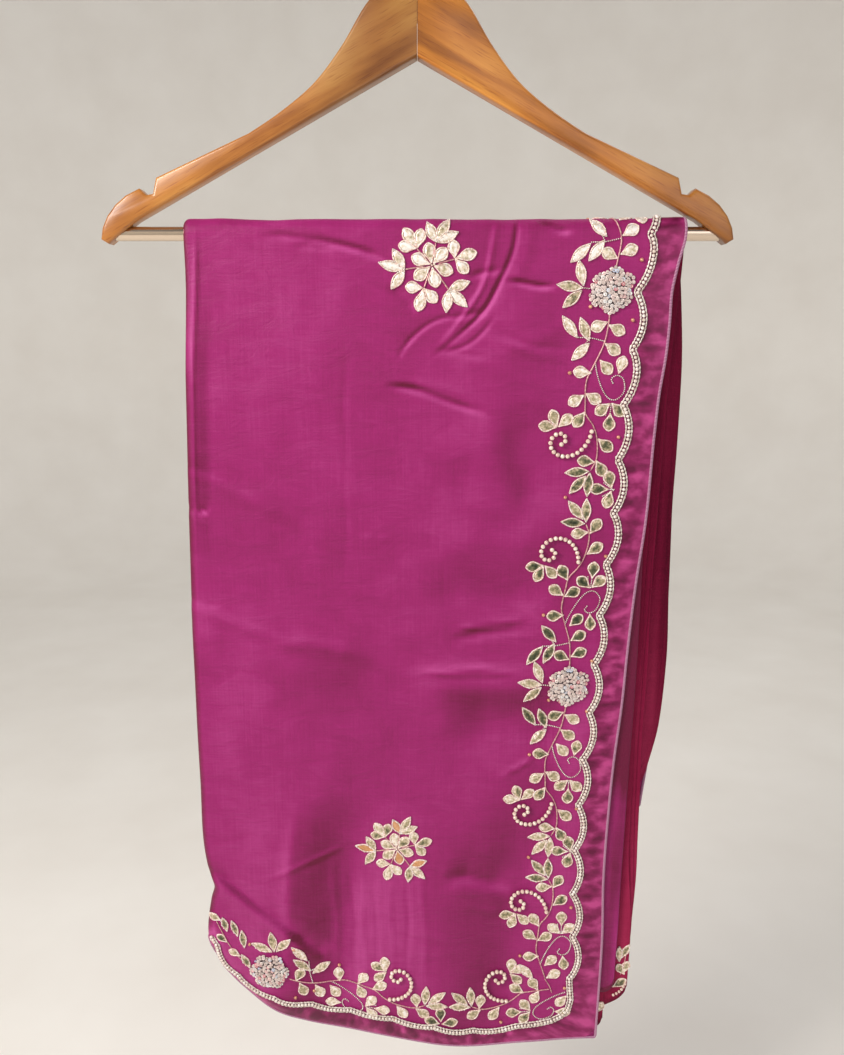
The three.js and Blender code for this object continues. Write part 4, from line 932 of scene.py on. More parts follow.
def border(sign, corner, hem):
    """One fall's bead line and the finished edge beside it, from the bar's top line down the side,
    round the corner and along the hem, as matching points."""
    cusps = FIRST_CUSP + SCALLOP * np.arange(-12, 16)
    last = max(c * sign for c in cusps if c * sign < abs(corner[1]) - SIDE_END)
    path = sign * np.linspace(0, last, 300)
    side = np.stack([right_edge(path), path], -1)
    beads_side = side - np.stack([scallop_inset(path), 0 * path], -1)
    turn = CORNER_TURN * (1, sign) + corner
    beads_hem = hem - sign * inward(hem) * hem_inset(hem, sign)[:, None]
    past_turn = int(TURN_END) + 3
    beads = np.concatenate([beads_side, turn[1:], beads_hem[past_turn:]])
    share = np.linspace(0, 1, len(turn) + 1)[1:-1]
    stops = np.array([side[-1], corner, hem[past_turn - 2]])
    turn_edge = np.stack([np.interp(share, [0, 0.5, 1], stops[:, k]) for k in (0, 1)], -1)
    return beads, np.concatenate([side, turn_edge, hem[past_turn:]])


front_beads, front_edge = border(1, corner_front, front_hem[::-1])
back_beads, back_edge = border(-1, corner_back, back_hem)
bead_line = np.concatenate([front_beads[::-1], back_beads[1:]])
bead_edge = np.concatenate([front_edge[::-1], back_edge[1:]])

# The hem facing is a bias strip of satin between the edge and the beads, slightly puckered by the
# stitching and pressed to a shine. Its pulls are 9 by 14 mm, and they lighten and darken its
# colour as a painted sheen and shade. The lean attribute adds painted shade and light from how
# the cloth and its puckers tilt.
FACING = new_finish("satin_bias_facing")
facing_flat = add_node(FACING, "ShaderNodeUVMap", uv_map="cloth").outputs[0]
facing_stretched = add_node(
    FACING,
    "ShaderNodeMapping",
    {"Vector": facing_flat, "Scale": (0.009, 0.014, 1)},
    vector_type="TEXTURE",
)
facing_pull = add_node(
    FACING,
    "ShaderNodeTexNoise",
    {"Vector": facing_stretched.outputs[0], "Scale": 1.0, "Detail": 3.0},
).outputs[0]
facing_lean = add_node(FACING, "ShaderNodeAttribute", attribute_name="lean").outputs["Fac"]
facing_tone = add_node(
    FACING, "ShaderNodeMath", {0: facing_lean, 1: 0.9, 2: facing_pull}, operation="MULTIPLY_ADD"
).outputs[0]
facing_colour = add_node(
    FACING,
    "ShaderNodeValToRGB",
    {"Fac": facing_tone},
    stops=[(0.28, "#62103a"), (0.5, "#882058"), (0.76, "#bc4486")],
)
facing_bump = add_node(
    FACING, "ShaderNodeBump", {"Height": facing_pull, "Strength": 0.35, "Distance": 0.001}
)
shade(
    FACING,
    Base_Color=facing_colour.outputs[0],
    Roughness=0.4,
    Specular_IOR_Level=0.25,
    Sheen_Weight=0.05,
    Sheen_Tint=linear("#d8589c"),
    Normal=facing_bump.outputs[0],
)

FACING_STEP, FACING_COLUMNS, FACING_WIDTH = 1.6, 12, 20
FACING_PITCH = 1.8  # between its columns
bead_lengths = run_lengths(bead_line)
facing_at = np.linspace(0, bead_lengths[-1], int(bead_lengths[-1] / FACING_STEP) + 1)
facing_in, facing_out = (
    np.stack([np.interp(facing_at, bead_lengths, line[:, k]) for k in (0, 1)], -1)
    for line in (bead_line, bead_edge)
)
facing_at, facing_t = np.meshgrid(facing_at, np.linspace(0, 1, FACING_COLUMNS), indexing="ij")
facing_spots = mix(facing_out[:, None], facing_in[:, None], facing_t[..., None])
pucker = wander(facing_at / 8, 1.7 * facing_t) + 0.5 * wander(facing_at / 3.6, facing_t + 5)
facing_lift = 0.35 + 0.4 * (1 + pucker) * np.sin(np.pi * facing_t) ** 0.7
facing_points, _ = lay(facing_spots[..., 0], facing_spots[..., 1], facing_lift)
facing_uv = np.stack([facing_at, FACING_WIDTH * facing_t], -1) / 1000
# How steeply the puckers tilt, painted into the colour as shade and light.
facing_rise, facing_climb = np.gradient(facing_lift)
pucker_shade = 1.4 * (facing_rise / FACING_STEP + facing_climb / FACING_PITCH)
facing = add_piece(
    "hem_facing",
    facing_points,
    grid_faces(*facing_lift.shape),
    FACING,
    "facing",
    facing_uv,
    {"lean": lean(facing_spots[..., 0], facing_spots[..., 1]) + pucker_shade},
)
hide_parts("side_facing_front", "side_facing_back", "hem_facing_front", "hem_facing_back")


def tubes(lines, normals, radius, sides, closed=False):
    """Round cords along lines of points (cords, points, 3): rings of so many sides, turned by
    the line's run and the cloth's normal. Open cords taper to a point at both ends."""
    if closed:
        run = np.roll(lines, -1, 1) - np.roll(lines, 1, 1)
    else:
        run = np.gradient(lines, axis=1)
    run /= np.linalg.norm(run, axis=-1, keepdims=True) + 1e-9
    side = np.cross(run, normals)
    side /= np.linalg.norm(side, axis=-1, keepdims=True) + 1e-9
    up = np.cross(side, run)
    angle = np.linspace(0, 2 * np.pi, sides, endpoint=False)
    radius = np.broadcast_to(radius, lines.shape[:2]).copy()
    if not closed:
        radius[:, [0, -1]] = 0.01
    ring = radius[..., None, None] * (
        side[:, :, None] * np.cos(angle)[:, None] + up[:, :, None] * np.sin(angle)[:, None]
    )
    points = lines[:, :, None] + ring
    if closed:
        points = np.concatenate([points, points[:, :1]], 1)
    rings = points.shape[1]
    one = grid_faces(rings, sides, True) if closed else closed_tube(rings, sides)
    return points.reshape(-1, 3), repeated(one, len(lines), rings * sides)


def join(parts):
    """Several (points, faces) parts as one."""
    points, faces, start = [], [], 0
    for some, quads in parts:
        points.append(some.reshape(-1, 3))
        faces.append(quads + start)
        start += len(points[-1])
    return np.concatenate(points), np.concatenate(faces)


# The piping is a mauve cotton cord cover, whipped to the edge with close stitches that stand up
# as small ribs.
PIPING = new_finish("whipped_cotton_piping")
piping_flat = add_node(PIPING, "ShaderNodeUVMap", uv_map="cloth").outputs[0]
piping_stretched = add_node(
    PIPING,
    "ShaderNodeMapping",
    {"Vector": piping_flat, "Scale": (0.003, 0.012, 1)},
    vector_type="TEXTURE",
)
piping_rib = add_node(
    PIPING,
    "ShaderNodeTexWave",
    {"Vector": piping_stretched.outputs[0], "Scale": 1.0, "Distortion": 1.5, "Detail": 2.0},
    wave_type="BANDS",
    bands_direction="X",
).outputs["Fac"]
piping_colour = add_node(
    PIPING,
    "ShaderNodeValToRGB",
    {"Fac": piping_rib},
    stops=[(0.1, "#7a3a64"), (0.5, "#ab6a92"), (0.9, "#d6a2c0")],
)
piping_bump = add_node(
    PIPING, "ShaderNodeBump", {"Height": piping_rib, "Strength": 0.5, "Distance": 0.0004}
)
shade(
    PIPING,
    Base_Color=piping_colour.outputs[0],
    Roughness=0.7,
    Sheen_Weight=0.3,
    Normal=piping_bump.outputs[0],
)

PIPING_STEP, PIPING_SIDES, PIPING_RADIUS = 2.2, 10, 1.15
PIPING_FACET = 0.66  # between its sides, round it
PIPING_OUT, PIPING_SINK = 0.9, 0.35  # its middle from the edge, and under the cloth's face
piping_line = even(edge_line - PIPING_OUT * edge_inward, PIPING_STEP)
piping_centre, piping_normal = lay(piping_line[:, 0], piping_line[:, 1], -PIPING_SINK)
piping_points, piping_faces = tubes(
    piping_centre[None], piping_normal[None], PIPING_RADIUS, PIPING_SIDES
)
piping_along = PIPING_STEP * np.arange(len(piping_line))
piping_round = PIPING_FACET * np.arange(PIPING_SIDES)
piping_uv = np.stack(np.meshgrid(piping_along, piping_round, indexing="ij"), -1) / 1000
piping = add_piece("piping", piping_points, piping_faces, PIPING, "piping", piping_uv)
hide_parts("piping_front", "piping_back")

# ---------------------------------------------------------------- bead edging
# Cream seed pearls are couched one by one along the scallops, between two lines of twisted silver
# cord.


def mottled(material, blotches, detail, stops):
    """A colour that varies over so many blotches a metre, and the noise that it comes from."""
    place = add_node(material, "ShaderNodeTexCoord").outputs["Object"]
    noise = add_node(
        material, "ShaderNodeTexNoise", {"Vector": place, "Scale": blotches, "Detail": detail}
    ).outputs[0]
    return add_node(material, "ShaderNodeValToRGB", {"Fac": noise}, stops=stops).outputs[0], noise


# Seed pearls are glass with a cream coat, each a little lighter or darker than the next.
CREAM = new_finish("cream_seed_pearl")
cream_colour, _ = mottled(CREAM, 420.0, 1.0, [(0.3, "#d2beb0"), (0.5, "#efe2d8"), (0.7, "#fffaf6")])
shade(CREAM, Base_Color=cream_colour, Roughness=0.22, Coat_Weight=0.6, Specular_IOR_Level=0.6)


def bead_shape(cuts):
    """A ball of quads: the surface points of a cube, cuts cells a side, pushed out to radius 1."""
    ticks = np.linspace(-1, 1, cuts + 1)
    u, v = np.meshgrid(ticks, ticks, indexing="ij")
    one = np.ones_like(u)
    sides = [(one, u, v), (-one, v, u), (v, one, u), (u, -one, v), (u, v, one), (v, u, -one)]
    points = np.concatenate([np.stack(side, -1).reshape(-1, 3) for side in sides])
    points, number = np.unique(points.round(6), axis=0, return_inverse=True)
    faces = np.concatenate([grid_faces(cuts + 1, cuts + 1) + k * (cuts + 1) ** 2 for k in range(6)])
    points = points / np.linalg.norm(points, axis=1, keepdims=True)
    return points, number.ravel()[faces]


def scatter(shape, centres, sizes):
    """Copies of a small shape at each centre: sizes is one radius for all, or one for each."""
    points, faces = shape
    sizes = np.broadcast_to(sizes, (len(centres),))[:, None, None]
    placed = centres[:, None] + points[None] * sizes
    return placed.reshape(-1, 3), repeated(faces, len(centres), len(points))


PEARL, SEED = bead_shape(2), bead_shape(1)
PEARL_PITCH, PEARL_RADIUS, PEARL_LIFT = 2.7, 1.28, 1.35
pearl_at = even(bead_line, PEARL_PITCH)
pearl_centres, _ = lay(pearl_at[:, 0], pearl_at[:, 1], PEARL_LIFT)
pearl_sizes = PEARL_RADIUS * (1 + 0.06 * rng.standard_normal(len(pearl_at)))
pearl_row = scatter(PEARL, pearl_centres, pearl_sizes)
pearls = add_piece("bead_edging_pearls", *pearl_row, CREAM, "beads")
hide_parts("bead_edging_front", "bead_edging_back")

# Silver zari cord: a flat metallic thread wound on cotton, bright with dark twists 1 mm apart.
SILVER = new_finish("twisted_zari_cord")
silver_colour, silver_twist = mottled(
    SILVER, 900.0, 1.0, [(0.35, "#ab988c"), (0.5, "#ecdfd4"), (0.65, "#fffaf4")]
)
silver_bump = add_node(
    SILVER, "ShaderNodeBump", {"Height": silver_twist, "Strength": 0.6, "Distance": 0.0004}
)
shade(
    SILVER,
    Base_Color=silver_colour,
    Metallic=0.15,
    Roughness=0.35,
    Normal=silver_bump.outputs[0],
)
CORD_KNOT_PITCH, CORD_OFFSET, CORD_LIFT = 1.45, 2.0, 0.95
bead_run = even(bead_line, CORD_KNOT_PITCH)
bead_side = inward(bead_run)
knots = 0.56 + 0.2 * np.cos(np.pi * np.arange(len(bead_run)))  # thick and thin by turns
cord_parts = []
for offset in (-CORD_OFFSET, CORD_OFFSET):
    cord_at = bead_run + bead_side * offset
    cord_centres, cord_normals = lay(cord_at[:, 0], cord_at[:, 1], CORD_LIFT)
    cord_parts.append(tubes(cord_centres[None], cord_normals[None], knots[None], 6))
cords = add_piece("bead_edging_cords", *join(cord_parts), SILVER, "beads")
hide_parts("bead_edging_front", "bead_edging_back")

# ---------------------------------------------------------------- gota embroidery
# Petals and leaves cut from woven metallic ribbon lie on the silk, each edged with a pale couched
# cord. A thin rose-gold thread joins them as stems.

PETAL_STEPS = 7
PETAL_ACROSS = np.array([-1, -0.55, 0, 0.55, 1, 0.5, 0, -0.5])  # round one ring, over and under
PETAL_HEIGHT = np.array([0.35, 0.8, 0.95, 0.8, 0.35, 0.12, 0.12, 0.12])
PETAL_POINTS = PETAL_STEPS * len(PETAL_ACROSS)
CORD_POINTS, STITCHES = 22, 12  # round a petal's outline, and round a leaf's


def petal_width(t, pointed):
    """Half the width at a share of the length. A petal is narrow at its base and round at its
    tip; a leaf is pointed at both ends."""
    rounded = np.sin(np.pi * np.clip(t, 0, 1) ** 1.45) ** 0.72 * mix(0.62, 1.0, smooth(t / 0.6))
    leaf = np.sin(np.pi * np.clip(t, 0, 1)) ** 1.05
    return mix(rounded, leaf, pointed)


def eased(t):
    """Shares from 0 to 1 as half a cosine, so stations lie close at both ends."""
    return 0.5 - 0.5 * np.cos(np.pi * t)


def petal_outline(rows, count):
    """Each petal's closed outline, from its base up one side and back down the other."""
    go = np.linspace(0, 1, count // 2, endpoint=False)
    t = np.concatenate([go, 1 - go])
    side = np.concatenate([np.ones(len(go)), -np.ones(len(go))])
    return on_petals(rows, eased(t)[None], side[None])


def on_petals(rows, t, side):
    """Places on each petal, by the share of its length and that of its half width there. A row
    is a petal's base (two numbers), heading in radians, length, width, and 1 for a leaf."""
    heading, length, width, pointed = rows[:, 2:].T[..., None]
    forward = t * length
    sideways = side * petal_width(t, pointed) * width / 2
    cos, sin = np.cos(heading), np.sin(heading)
    return np.stack(
        [
            rows[:, :1] + forward * cos - sideways * sin,
            rows[:, 1:2] + forward * sin + sideways * cos,
        ],
        -1,
    )


def petal_plates(rows, lay_at):
    """Domed closed plates: rings across each petal, five points over the top and three under, by
    a sine lower at both ends. The map runs across each petal and along it, from 0 to 1."""
    t = mix(0.004, 0.996, eased(np.linspace(0, 1, PETAL_STEPS)))
    height = 0.15 + PETAL_HEIGHT * mix(0.6, 1.0, np.sin(np.pi * t))[:, None]
    t, side = (part.reshape(1, -1) for part in np.meshgrid(t, PETAL_ACROSS, indexing="ij"))
    spots = on_petals(rows, t, side)
    points, _ = lay_at(spots[..., 0], spots[..., 1], height.reshape(1, -1))
    u = 0.5 + 0.5 * side * petal_width(t, rows[:, 5:])
    faces = repeated(closed_tube(PETAL_STEPS, len(PETAL_ACROSS))[:, ::-1], len(rows), PETAL_POINTS)
    return points.reshape(-1, 3), faces, np.stack(np.broadcast_arrays(u, t), -1).reshape(-1, 2)


def curve(points, step=1.4):
    """A smooth line through given points: cubics with mean slopes, at even steps."""
    points = np.array(points, float)
    if len(points) == 2:
        return even(points, step)
    slopes = np.gradient(points, axis=0)
    place = np.linspace(0, len(points) - 1, len(points) * 10)
    low = np.clip(np.ceil(place).astype(int) - 1, 0, len(points) - 2)
    t = (place - low)[:, None]
    line = (
        (1 + 2 * t) * (1 - t) ** 2 * points[low]
        + t * (1 - t) ** 2 * slopes[low]
        + t * t * (3 - 2 * t) * points[low + 1]
        + t * t * (t - 1) * slopes[low + 1]
    )
    return even(line, step)


# Petals of a half repeat of the border vine: middle along from the flower and in from the edge,
# heading in degrees (0 along, 90 inwards), length, width, and 1 for a leaf.
VINE_PETALS = [
    (23.6, 47.2, 66, 12, 7.8, 0), (26, 35, -64, 12, 7.8, 0), (39, 36.6, -58, 12, 8, 0),
    (24.4, 67.4, 142, 17.5, 6.4, 1), (26, 57, 155, 16.5, 6.4, 1), (41.2, 58.4, 43, 16, 6.4, 1),
    (55, 55, 95, 12, 7.8, 0), (51.4, 39.4, -46, 12, 7.8, 0), (50.1, 28.8, 188, 12, 7.4, 0),
    (80.2, 37, 52, 12, 7.8, 0), (80.6, 26.4, -48, 12, 7.8, 0), (89.6, 31.4, 0, 12, 8, 0),
    (74, 56.2, 57, 12, 7.8, 0), (72.6, 44.6, -62, 12, 7.8, 0), (87.5, 52.6, 34, 12.5, 8, 0),
    (92.4, 74.2, 96, 12.5, 7.4, 0), (86.9, 70.1, 158, 12.5, 7.2, 0), (88.6, 62.3, 226, 12, 7.2, 0),
    (105.4, 32.8, -52, 13, 8, 0), (117, 45.2, 97, 12, 7.6, 0), (122, 34.8, -32, 12.5, 7.8, 0),
    (124.8, 51.2, 86, 16.5, 6.2, 1), (133.9, 50, 41, 16.5, 6.2, 1), (133.8, 42.4, 3, 16.5, 6.2, 1),
]
LOOP_PETALS = (7, 8)  # rows of the table: the two that sit at the stem's loop
# Its stems and stamens, as lines through places along and in.
MAIN_STEM = [
    (15, 40.7), (23, 41), (35.5, 42.7), (50, 47.7), (61, 51), (76, 49.7), (84, 48.4),
    (92, 42.5), (102, 38.8), (115, 38.1), (124, 41.7),
]
TWIGS = [[(34, 43), (32, 52), (31.5, 62)], [(31.8, 53), (36.5, 56)]]
LOOP_STEM = [
    (49, 47), (56, 44.6), (66, 39.6), (72.8, 34), (73.6, 28.3), (68, 23.8), (60, 25.6),
    (57.2, 30.4), (59.4, 34), (62.4, 32.6),
]
STAMENS = [
    [(76.8, 31.6), (83.4, 31.5)],
    [(77.5, 33.6), (84.5, 34.6)],
    [(77.5, 29.6), (84.5, 28.4)],
]
VINE_DOTS = [(20, 24.6), (55.5, 63.6), (100, 24)]
CURL_CENTRE, CURL_PITCH = (102, 64.5), 3.6
# The tulip between two half repeats, and the three leaves at a sequin flower.
MID_PETALS = [
    (130.2, 27.6, 164, 12.5, 8, 0), (136.9, 34.6, 92, 13, 7.4, 0), (144.4, 27.4, 14, 12.5, 8, 0)
]
MID_STAMENS = [
    [(137.6, 24.5), (132.5, 31.5)],
    [(137.8, 24.5), (142, 31.6)],
    [(137.2, 24), (137, 28)],
]
FLOWER_LEAVES = [
    (-11.4, 63.6, 157, 17, 6.4, 1), (-2.6, 69.4, 97, 17.5, 6.4, 1), (6, 66.8, 47, 16.5, 6.2, 1)
]


def curl_line():
    """A pearl curl: a spiral whose radius falls from 22 mm towards 2.6 as it sweeps 450
    degrees."""
    sweep = np.linspace(0, np.radians(450), 600)
    radius = 2.6 + 19.4 * np.exp(-sweep / np.radians(124))
    angle = np.radians(-106) + sweep
    line = radius[:, None] * np.stack([np.cos(angle), np.sin(angle)], -1)
    return even(line + CURL_CENTRE, CURL_PITCH)


def on_side(flower, grows):
    """Vine places on the right-hand border: along from a flower, in from the edge."""

    def place(along, inset):
        path = flower + grows * along
        return right_edge(path) - inset, path

    return place


VINE_HEM = [(-170, 596), (-120, 602), (-92, 613), *FRONT_HEM[-5:]]  # the hem less its round corner
HEM_DROP = 4.5  # the hem's vine runs this much nearer its edge than the side's


def on_hem(fall, flower, grows):
    """Vine places on a hem border: across from a flower, up from the hem."""

    def place(along, inset):
        x = flower + grows * along
        hem = read(VINE_HEM, x) if fall > 0 else read(BACK_HEM, x)
        return x, fall * (QUARTER + hem - inset + HEM_DROP)

    return place


def on_plain(x0, path0, size=1.0):
    """Places of a lone motif: right and up from its middle."""
    return lambda right, up: (x0 + size * right, path0 - size * up * np.sign(path0))


CORD_RADIUS, STITCH_RADIUS, CHAIN_RADIUS, DOT_RADIUS = 0.55, 0.66, 0.62, 1.4
STEM_LIFT, OUTLINE_LIFT, STITCH_LIFT, DOT_LIFT = 0.45, 0.5, 0.95, 0.6
TONE_SPREAD = 0.16  # how far each petal's tone strays
WARM_SHARE = 0.28  # of a motif's petals that may get a painted orange glint


class Motifs:
    """Collects petals, stems, pearls and dots in cloth places until they are made up."""

    def __init__(self, sink=0.0):
        self.petals, self.outlines, self.stitches = [], [], []
        self.stems, self.pearls, self.dots = [], [], []
        self.sink = sink

    def lay(self, x, path, lift):
        """Where a spot lies, on the outermost layer or sunk to one behind it."""
        return lay(x, path, lift - self.sink)

    def add_petals(self, rows, place, tone, warm=0.0, size=1.0):
        """Each petal's middle and heading follow the place map, and its shape stays true. It
        gets its plate, the cord round it, and, on a leaf, a row of stitches on the cord."""
        rows = np.array(rows, float)
        angle = np.radians(rows[:, 2])
        right, up = rows[:, 0], rows[:, 1]
        middle = np.stack(place(right, up), -1)
        ahead = np.stack(place(right + 0.1 * np.cos(angle), up + 0.1 * np.sin(angle)), -1)
        heading = np.arctan2(*(ahead - middle).T[::-1])
        reach = 0.5 * size * rows[:, 3:4]
        base = middle - reach * np.stack([np.cos(heading), np.sin(heading)], -1)
        laid = np.column_stack([base, heading, size * rows[:, 3:5], rows[:, 5]])
        own_tone = np.clip(tone + rng.uniform(-TONE_SPREAD, TONE_SPREAD, len(rows)), 0, 1)
        own_warmth = warm * (rng.uniform(0, 1, len(rows)) > 1 - WARM_SHARE)
        tones = [np.repeat(some, PETAL_POINTS) for some in (own_tone, own_warmth)]
        self.petals.append((*petal_plates(laid, self.lay), *tones))
        outline = petal_outline(laid, CORD_POINTS)
        centres, normals = self.lay(outline[..., 0], outline[..., 1], OUTLINE_LIFT)
        self.outlines.append(tubes(centres, normals, CORD_RADIUS, 5, closed=True))
        leaves = laid[laid[:, 5] > 0.5]
        if len(leaves):
            spots = petal_outline(leaves, STITCHES)
            centres, _ = self.lay(spots[..., 0], spots[..., 1], STITCH_LIFT)
            self.stitches.append(scatter(SEED, centres.reshape(-1, 3), STITCH_RADIUS))

    def add_stem(self, points, place, radius=0.5):
        """A couched thread along a smooth line."""
        line = curve(points)
        centres, normals = self.lay(*place(line[:, 0], line[:, 1]), STEM_LIFT)
        self.stems.append(tubes(centres[None], normals[None], radius, 6))

    def add_chain(self, points, place):
        """A row of small silver stitches along a smooth line."""
        line = curve(points, 1.35)
        centres, _ = self.lay(*place(line[:, 0], line[:, 1]), STEM_LIFT)
        self.stitches.append(scatter(SEED, centres, CHAIN_RADIUS))

    def add_pearls(self, spots, place, radius):
        """Pearls that rest on the cloth."""
        centres, _ = self.lay(*place(spots[:, 0], spots[:, 1]), radius)
        self.pearls.append(scatter(PEARL, centres, radius))

    def add_dots(self, spots, place):
        """Single gold beads, sunk a little in the cloth."""
        spots = np.array(spots, float)
        centres, _ = self.lay(*place(spots[:, 0], spots[:, 1]), DOT_LIFT)
        self.dots.append(scatter(PEARL, centres, DOT_RADIUS))


REPEAT = 286.0  # from flower to flower down the side
HALF = REPEAT / 2
CURL_PEARL = 1.7


def half_vine(work, place, tone, start=0.0, loop_start=0.0, stem_start=15.0):
    """A half repeat of the border vine, from its flower to the three leaves that end it. tone is
    how dark its foil's painted reflection is at the flower and at the end. At a corner it begins
    part of the way along: its petals at start, its loop at loop_start and its main stem at
    stem_start."""

    def past(spots, limit):
        return [spot for spot in spots if spot[0] >= limit]

    petals = [
        row
        for n, row in enumerate(VINE_PETALS)
        if row[0] >= (loop_start if n in LOOP_PETALS else start)
    ]
    work.add_petals(petals, place, mix(tone[0], tone[1], np.array(petals)[:, 0] / HALF))
    work.add_stem(past(MAIN_STEM, stem_start), place)
    for line in (*(past(twig, start) for twig in TWIGS), past(LOOP_STEM, loop_start)):
        if len(line) > 1:
            work.add_chain(line, place)
    if start < STAMENS[0][0][0]:
        for line in STAMENS:
            work.add_chain(line, place)
    work.add_pearls(curl_line(), place, CURL_PEARL)
    work.add_dots(past(VINE_DOTS, start), place)


vine_front, vine_back = Motifs(), Motifs()
# Flowers down the side, by path, and their middles in from the edge. Those of the hems, by x.
FLOWER_1, FLOWER_INSET = 52.3, 40.6
FLOWER_2, FLOWER_BACK, FLOWER_3 = FLOWER_1 + REPEAT, FLOWER_1 - REPEAT, FLOWER_1 + 2 * REPEAT
HEM_FLOWER, HEM_FLOWER_BACK = -118.8, -96.0
HEM_FLOWER_DEPTH = 565.6
half_vine(vine_front, on_side(FLOWER_1, 1), (0.14, 0.46))
half_vine(vine_front, on_side(FLOWER_1, -1), (0.06, 0.1))
half_vine(vine_front, on_side(FLOWER_2, -1), (0.62, 0.5))
half_vine(vine_front, on_side(FLOWER_2, 1), (0.46, 0.36))
half_vine(vine_front, on_side(FLOWER_3, -1), (0.26, 0.44), start=38, loop_start=38, stem_start=35)
half_vine(vine_front, on_hem(1, HEM_FLOWER, 1), (0.26, 0.26))
half_vine(
    vine_front,
    on_hem(1, HEM_FLOWER + REPEAT, -1),
    (0.3, 0.3),
    start=70,
    loop_start=45,
    stem_start=61,
)
half_vine(vine_back, on_side(FLOWER_BACK, 1), (0.4, 0.4))
half_vine(vine_back, on_side(FLOWER_BACK, -1), (0.4, 0.4))
half_vine(vine_back, on_hem(-1, HEM_FLOWER_BACK, 1), (0.4, 0.4))
half_vine(
    vine_back,
    on_hem(-1, HEM_FLOWER_BACK + REPEAT, -1),
    (0.4, 0.4),
    start=45,
    loop_start=45,
    stem_start=50,
)


def up_from(x, up):
    """Places on the front fall, across and up from its top line."""
    return x, QUARTER - up


# A short stem and a dot link the side's vine to the hem's at the corner.
vine_front.add_stem([(101.5, -574), (105.6, -581), (108, -588)], up_from, 0.42)
vine_front.add_dots([(118, -583)], up_from)
side_flowers = ((vine_front, FLOWER_1), (vine_front, FLOWER_2), (vine_back, FLOWER_BACK))
for work, flower in side_flowers:
    work.add_petals(FLOWER_LEAVES, on_side(flower, 1), 0.3)
    work.add_chain([(-1, 56), (-1.6, 60.5)], on_side(flower, 1))
    work.add_dots([(11, 54)], on_side(flower, 1))
for work, flower in side_flowers:
    work.add_petals(MID_PETALS, on_side(flower, 1), 0.5)
    for line in MID_STAMENS:
        work.add_chain(line, on_side(flower, 1))
    work.add_dots([(143, 58)], on_side(flower, 1))
# The hem's flower stands upright, so its leaves are set from its middle.
hem_flower_place = on_plain(HEM_FLOWER, HEM_FLOWER_DEPTH + QUARTER)
vine_front.add_petals(
    [(right + 6, up - 42, *rest) for right, up, *rest in FLOWER_LEAVES], hem_flower_place, 0.3
)
vine_front.add_petals(MID_PETALS, on_hem(1, HEM_FLOWER, 1), 0.5)
vine_front.add_dots([(20, 21), (-15, 24), (35, -19)], hem_flower_place)
vine_back.add_petals(FLOWER_LEAVES, on_hem(-1, HEM_FLOWER_BACK, 1), 0.5)
vine_back.add_petals(MID_PETALS, on_hem(-1, HEM_FLOWER_BACK, 1), 0.5)
# The sprig that runs from the hem's flower up to the rolled fold.
LEFT_SPRIG = [
    (-160.3, -518, 150, 10, 5.6, 0), (-153, -524, 105, 12, 4.6, 1),
    (-145.4, -527.5, 108, 14, 4.6, 1), (-139, -537, 96, 15, 5, 1),
    (-155.6, -537, 140, 10, 5.6, 0), (-146.2, -550, 150, 10, 6, 0),
    (-137.6, -557, 118, 13, 5, 1),
]
LEFT_STEM = [(-131, -563), (-141, -556), (-149, -545), (-156, -530), (-160, -520)]
vine_front.add_petals(LEFT_SPRIG, up_from, 0.45)
vine_front.add_stem(LEFT_STEM, up_from, 0.4)

# The border goes on down the folds behind: a corner of it shows past the outermost layer.
SECOND_FOLD_SINK, THIRD_FOLD_SINK = 5.4, 3.9  # how far under the outermost face they lie
SECOND_FOLD_PETALS = [
    (161.9, -555, 92, 13, 5, 1), (166.8, -552.5, 62, 13, 5, 1),
    (167.4, -567.5, 70, 11, 6.2, 0), (163.8, -569.4, 124, 11, 6.4, 0),
    (163, -582.2, 32, 12.5, 7, 0),
]
SECOND_FOLD_PEARLS = [(158.5, -592.6), (161.5, -590.8), (165, -587.4), (167.6, -582.4)]
behind, behind_third = Motifs(SECOND_FOLD_SINK), Motifs(THIRD_FOLD_SINK)
behind.add_petals(SECOND_FOLD_PETALS, up_from, 0.4)
behind.add_stem([(167.6, -549), (166.6, -562), (163.4, -575)], up_from, 0.4)
behind.add_pearls(curve(SECOND_FOLD_PEARLS, PEARL_PITCH), up_from, 1.2)
behind_third.add_petals([(147.4, -603.7, 65, 11, 6.8, 0)], up_from, 0.3)

# Gota ribbon: woven metallic foil, dull green gold. Its colour is a painted reflection, dark
# where it would mirror the room and pale where it would face a window, and some petals get a
# painted orange glint. Fine ribs cross each petal.
GOTA = new_finish("gota_metal_ribbon")
gota_flat = add_node(GOTA, "ShaderNodeUVMap", uv_map="cloth").outputs[0]
gota_split = add_node(GOTA, "ShaderNodeSeparateXYZ", {"Vector": gota_flat})
gota_tone = add_node(GOTA, "ShaderNodeAttribute", attribute_name="tone").outputs["Fac"]
gota_warm = add_node(GOTA, "ShaderNodeAttribute", attribute_name="warm").outputs["Fac"]
gota_place = add_node(GOTA, "ShaderNodeTexCoord").outputs["Object"]
gota_blotch = add_node(
    GOTA, "ShaderNodeTexNoise", {"Vector": gota_place, "Scale": 420.0, "Detail": 3.0}
).outputs[0]


def parabola(socket):
    """Four times a share times what is left of it: 0 at both ends and 1 in the middle."""
    left = add_node(GOTA, "ShaderNodeMath", {0: 1.0, 1: socket}, operation="SUBTRACT").outputs[0]
    both = add_node(GOTA, "ShaderNodeMath", {0: socket, 1: left}, operation="MULTIPLY").outputs[0]
    return add_node(GOTA, "ShaderNodeMath", {0: both, 1: 4.0}, operation="MULTIPLY").outputs[0]
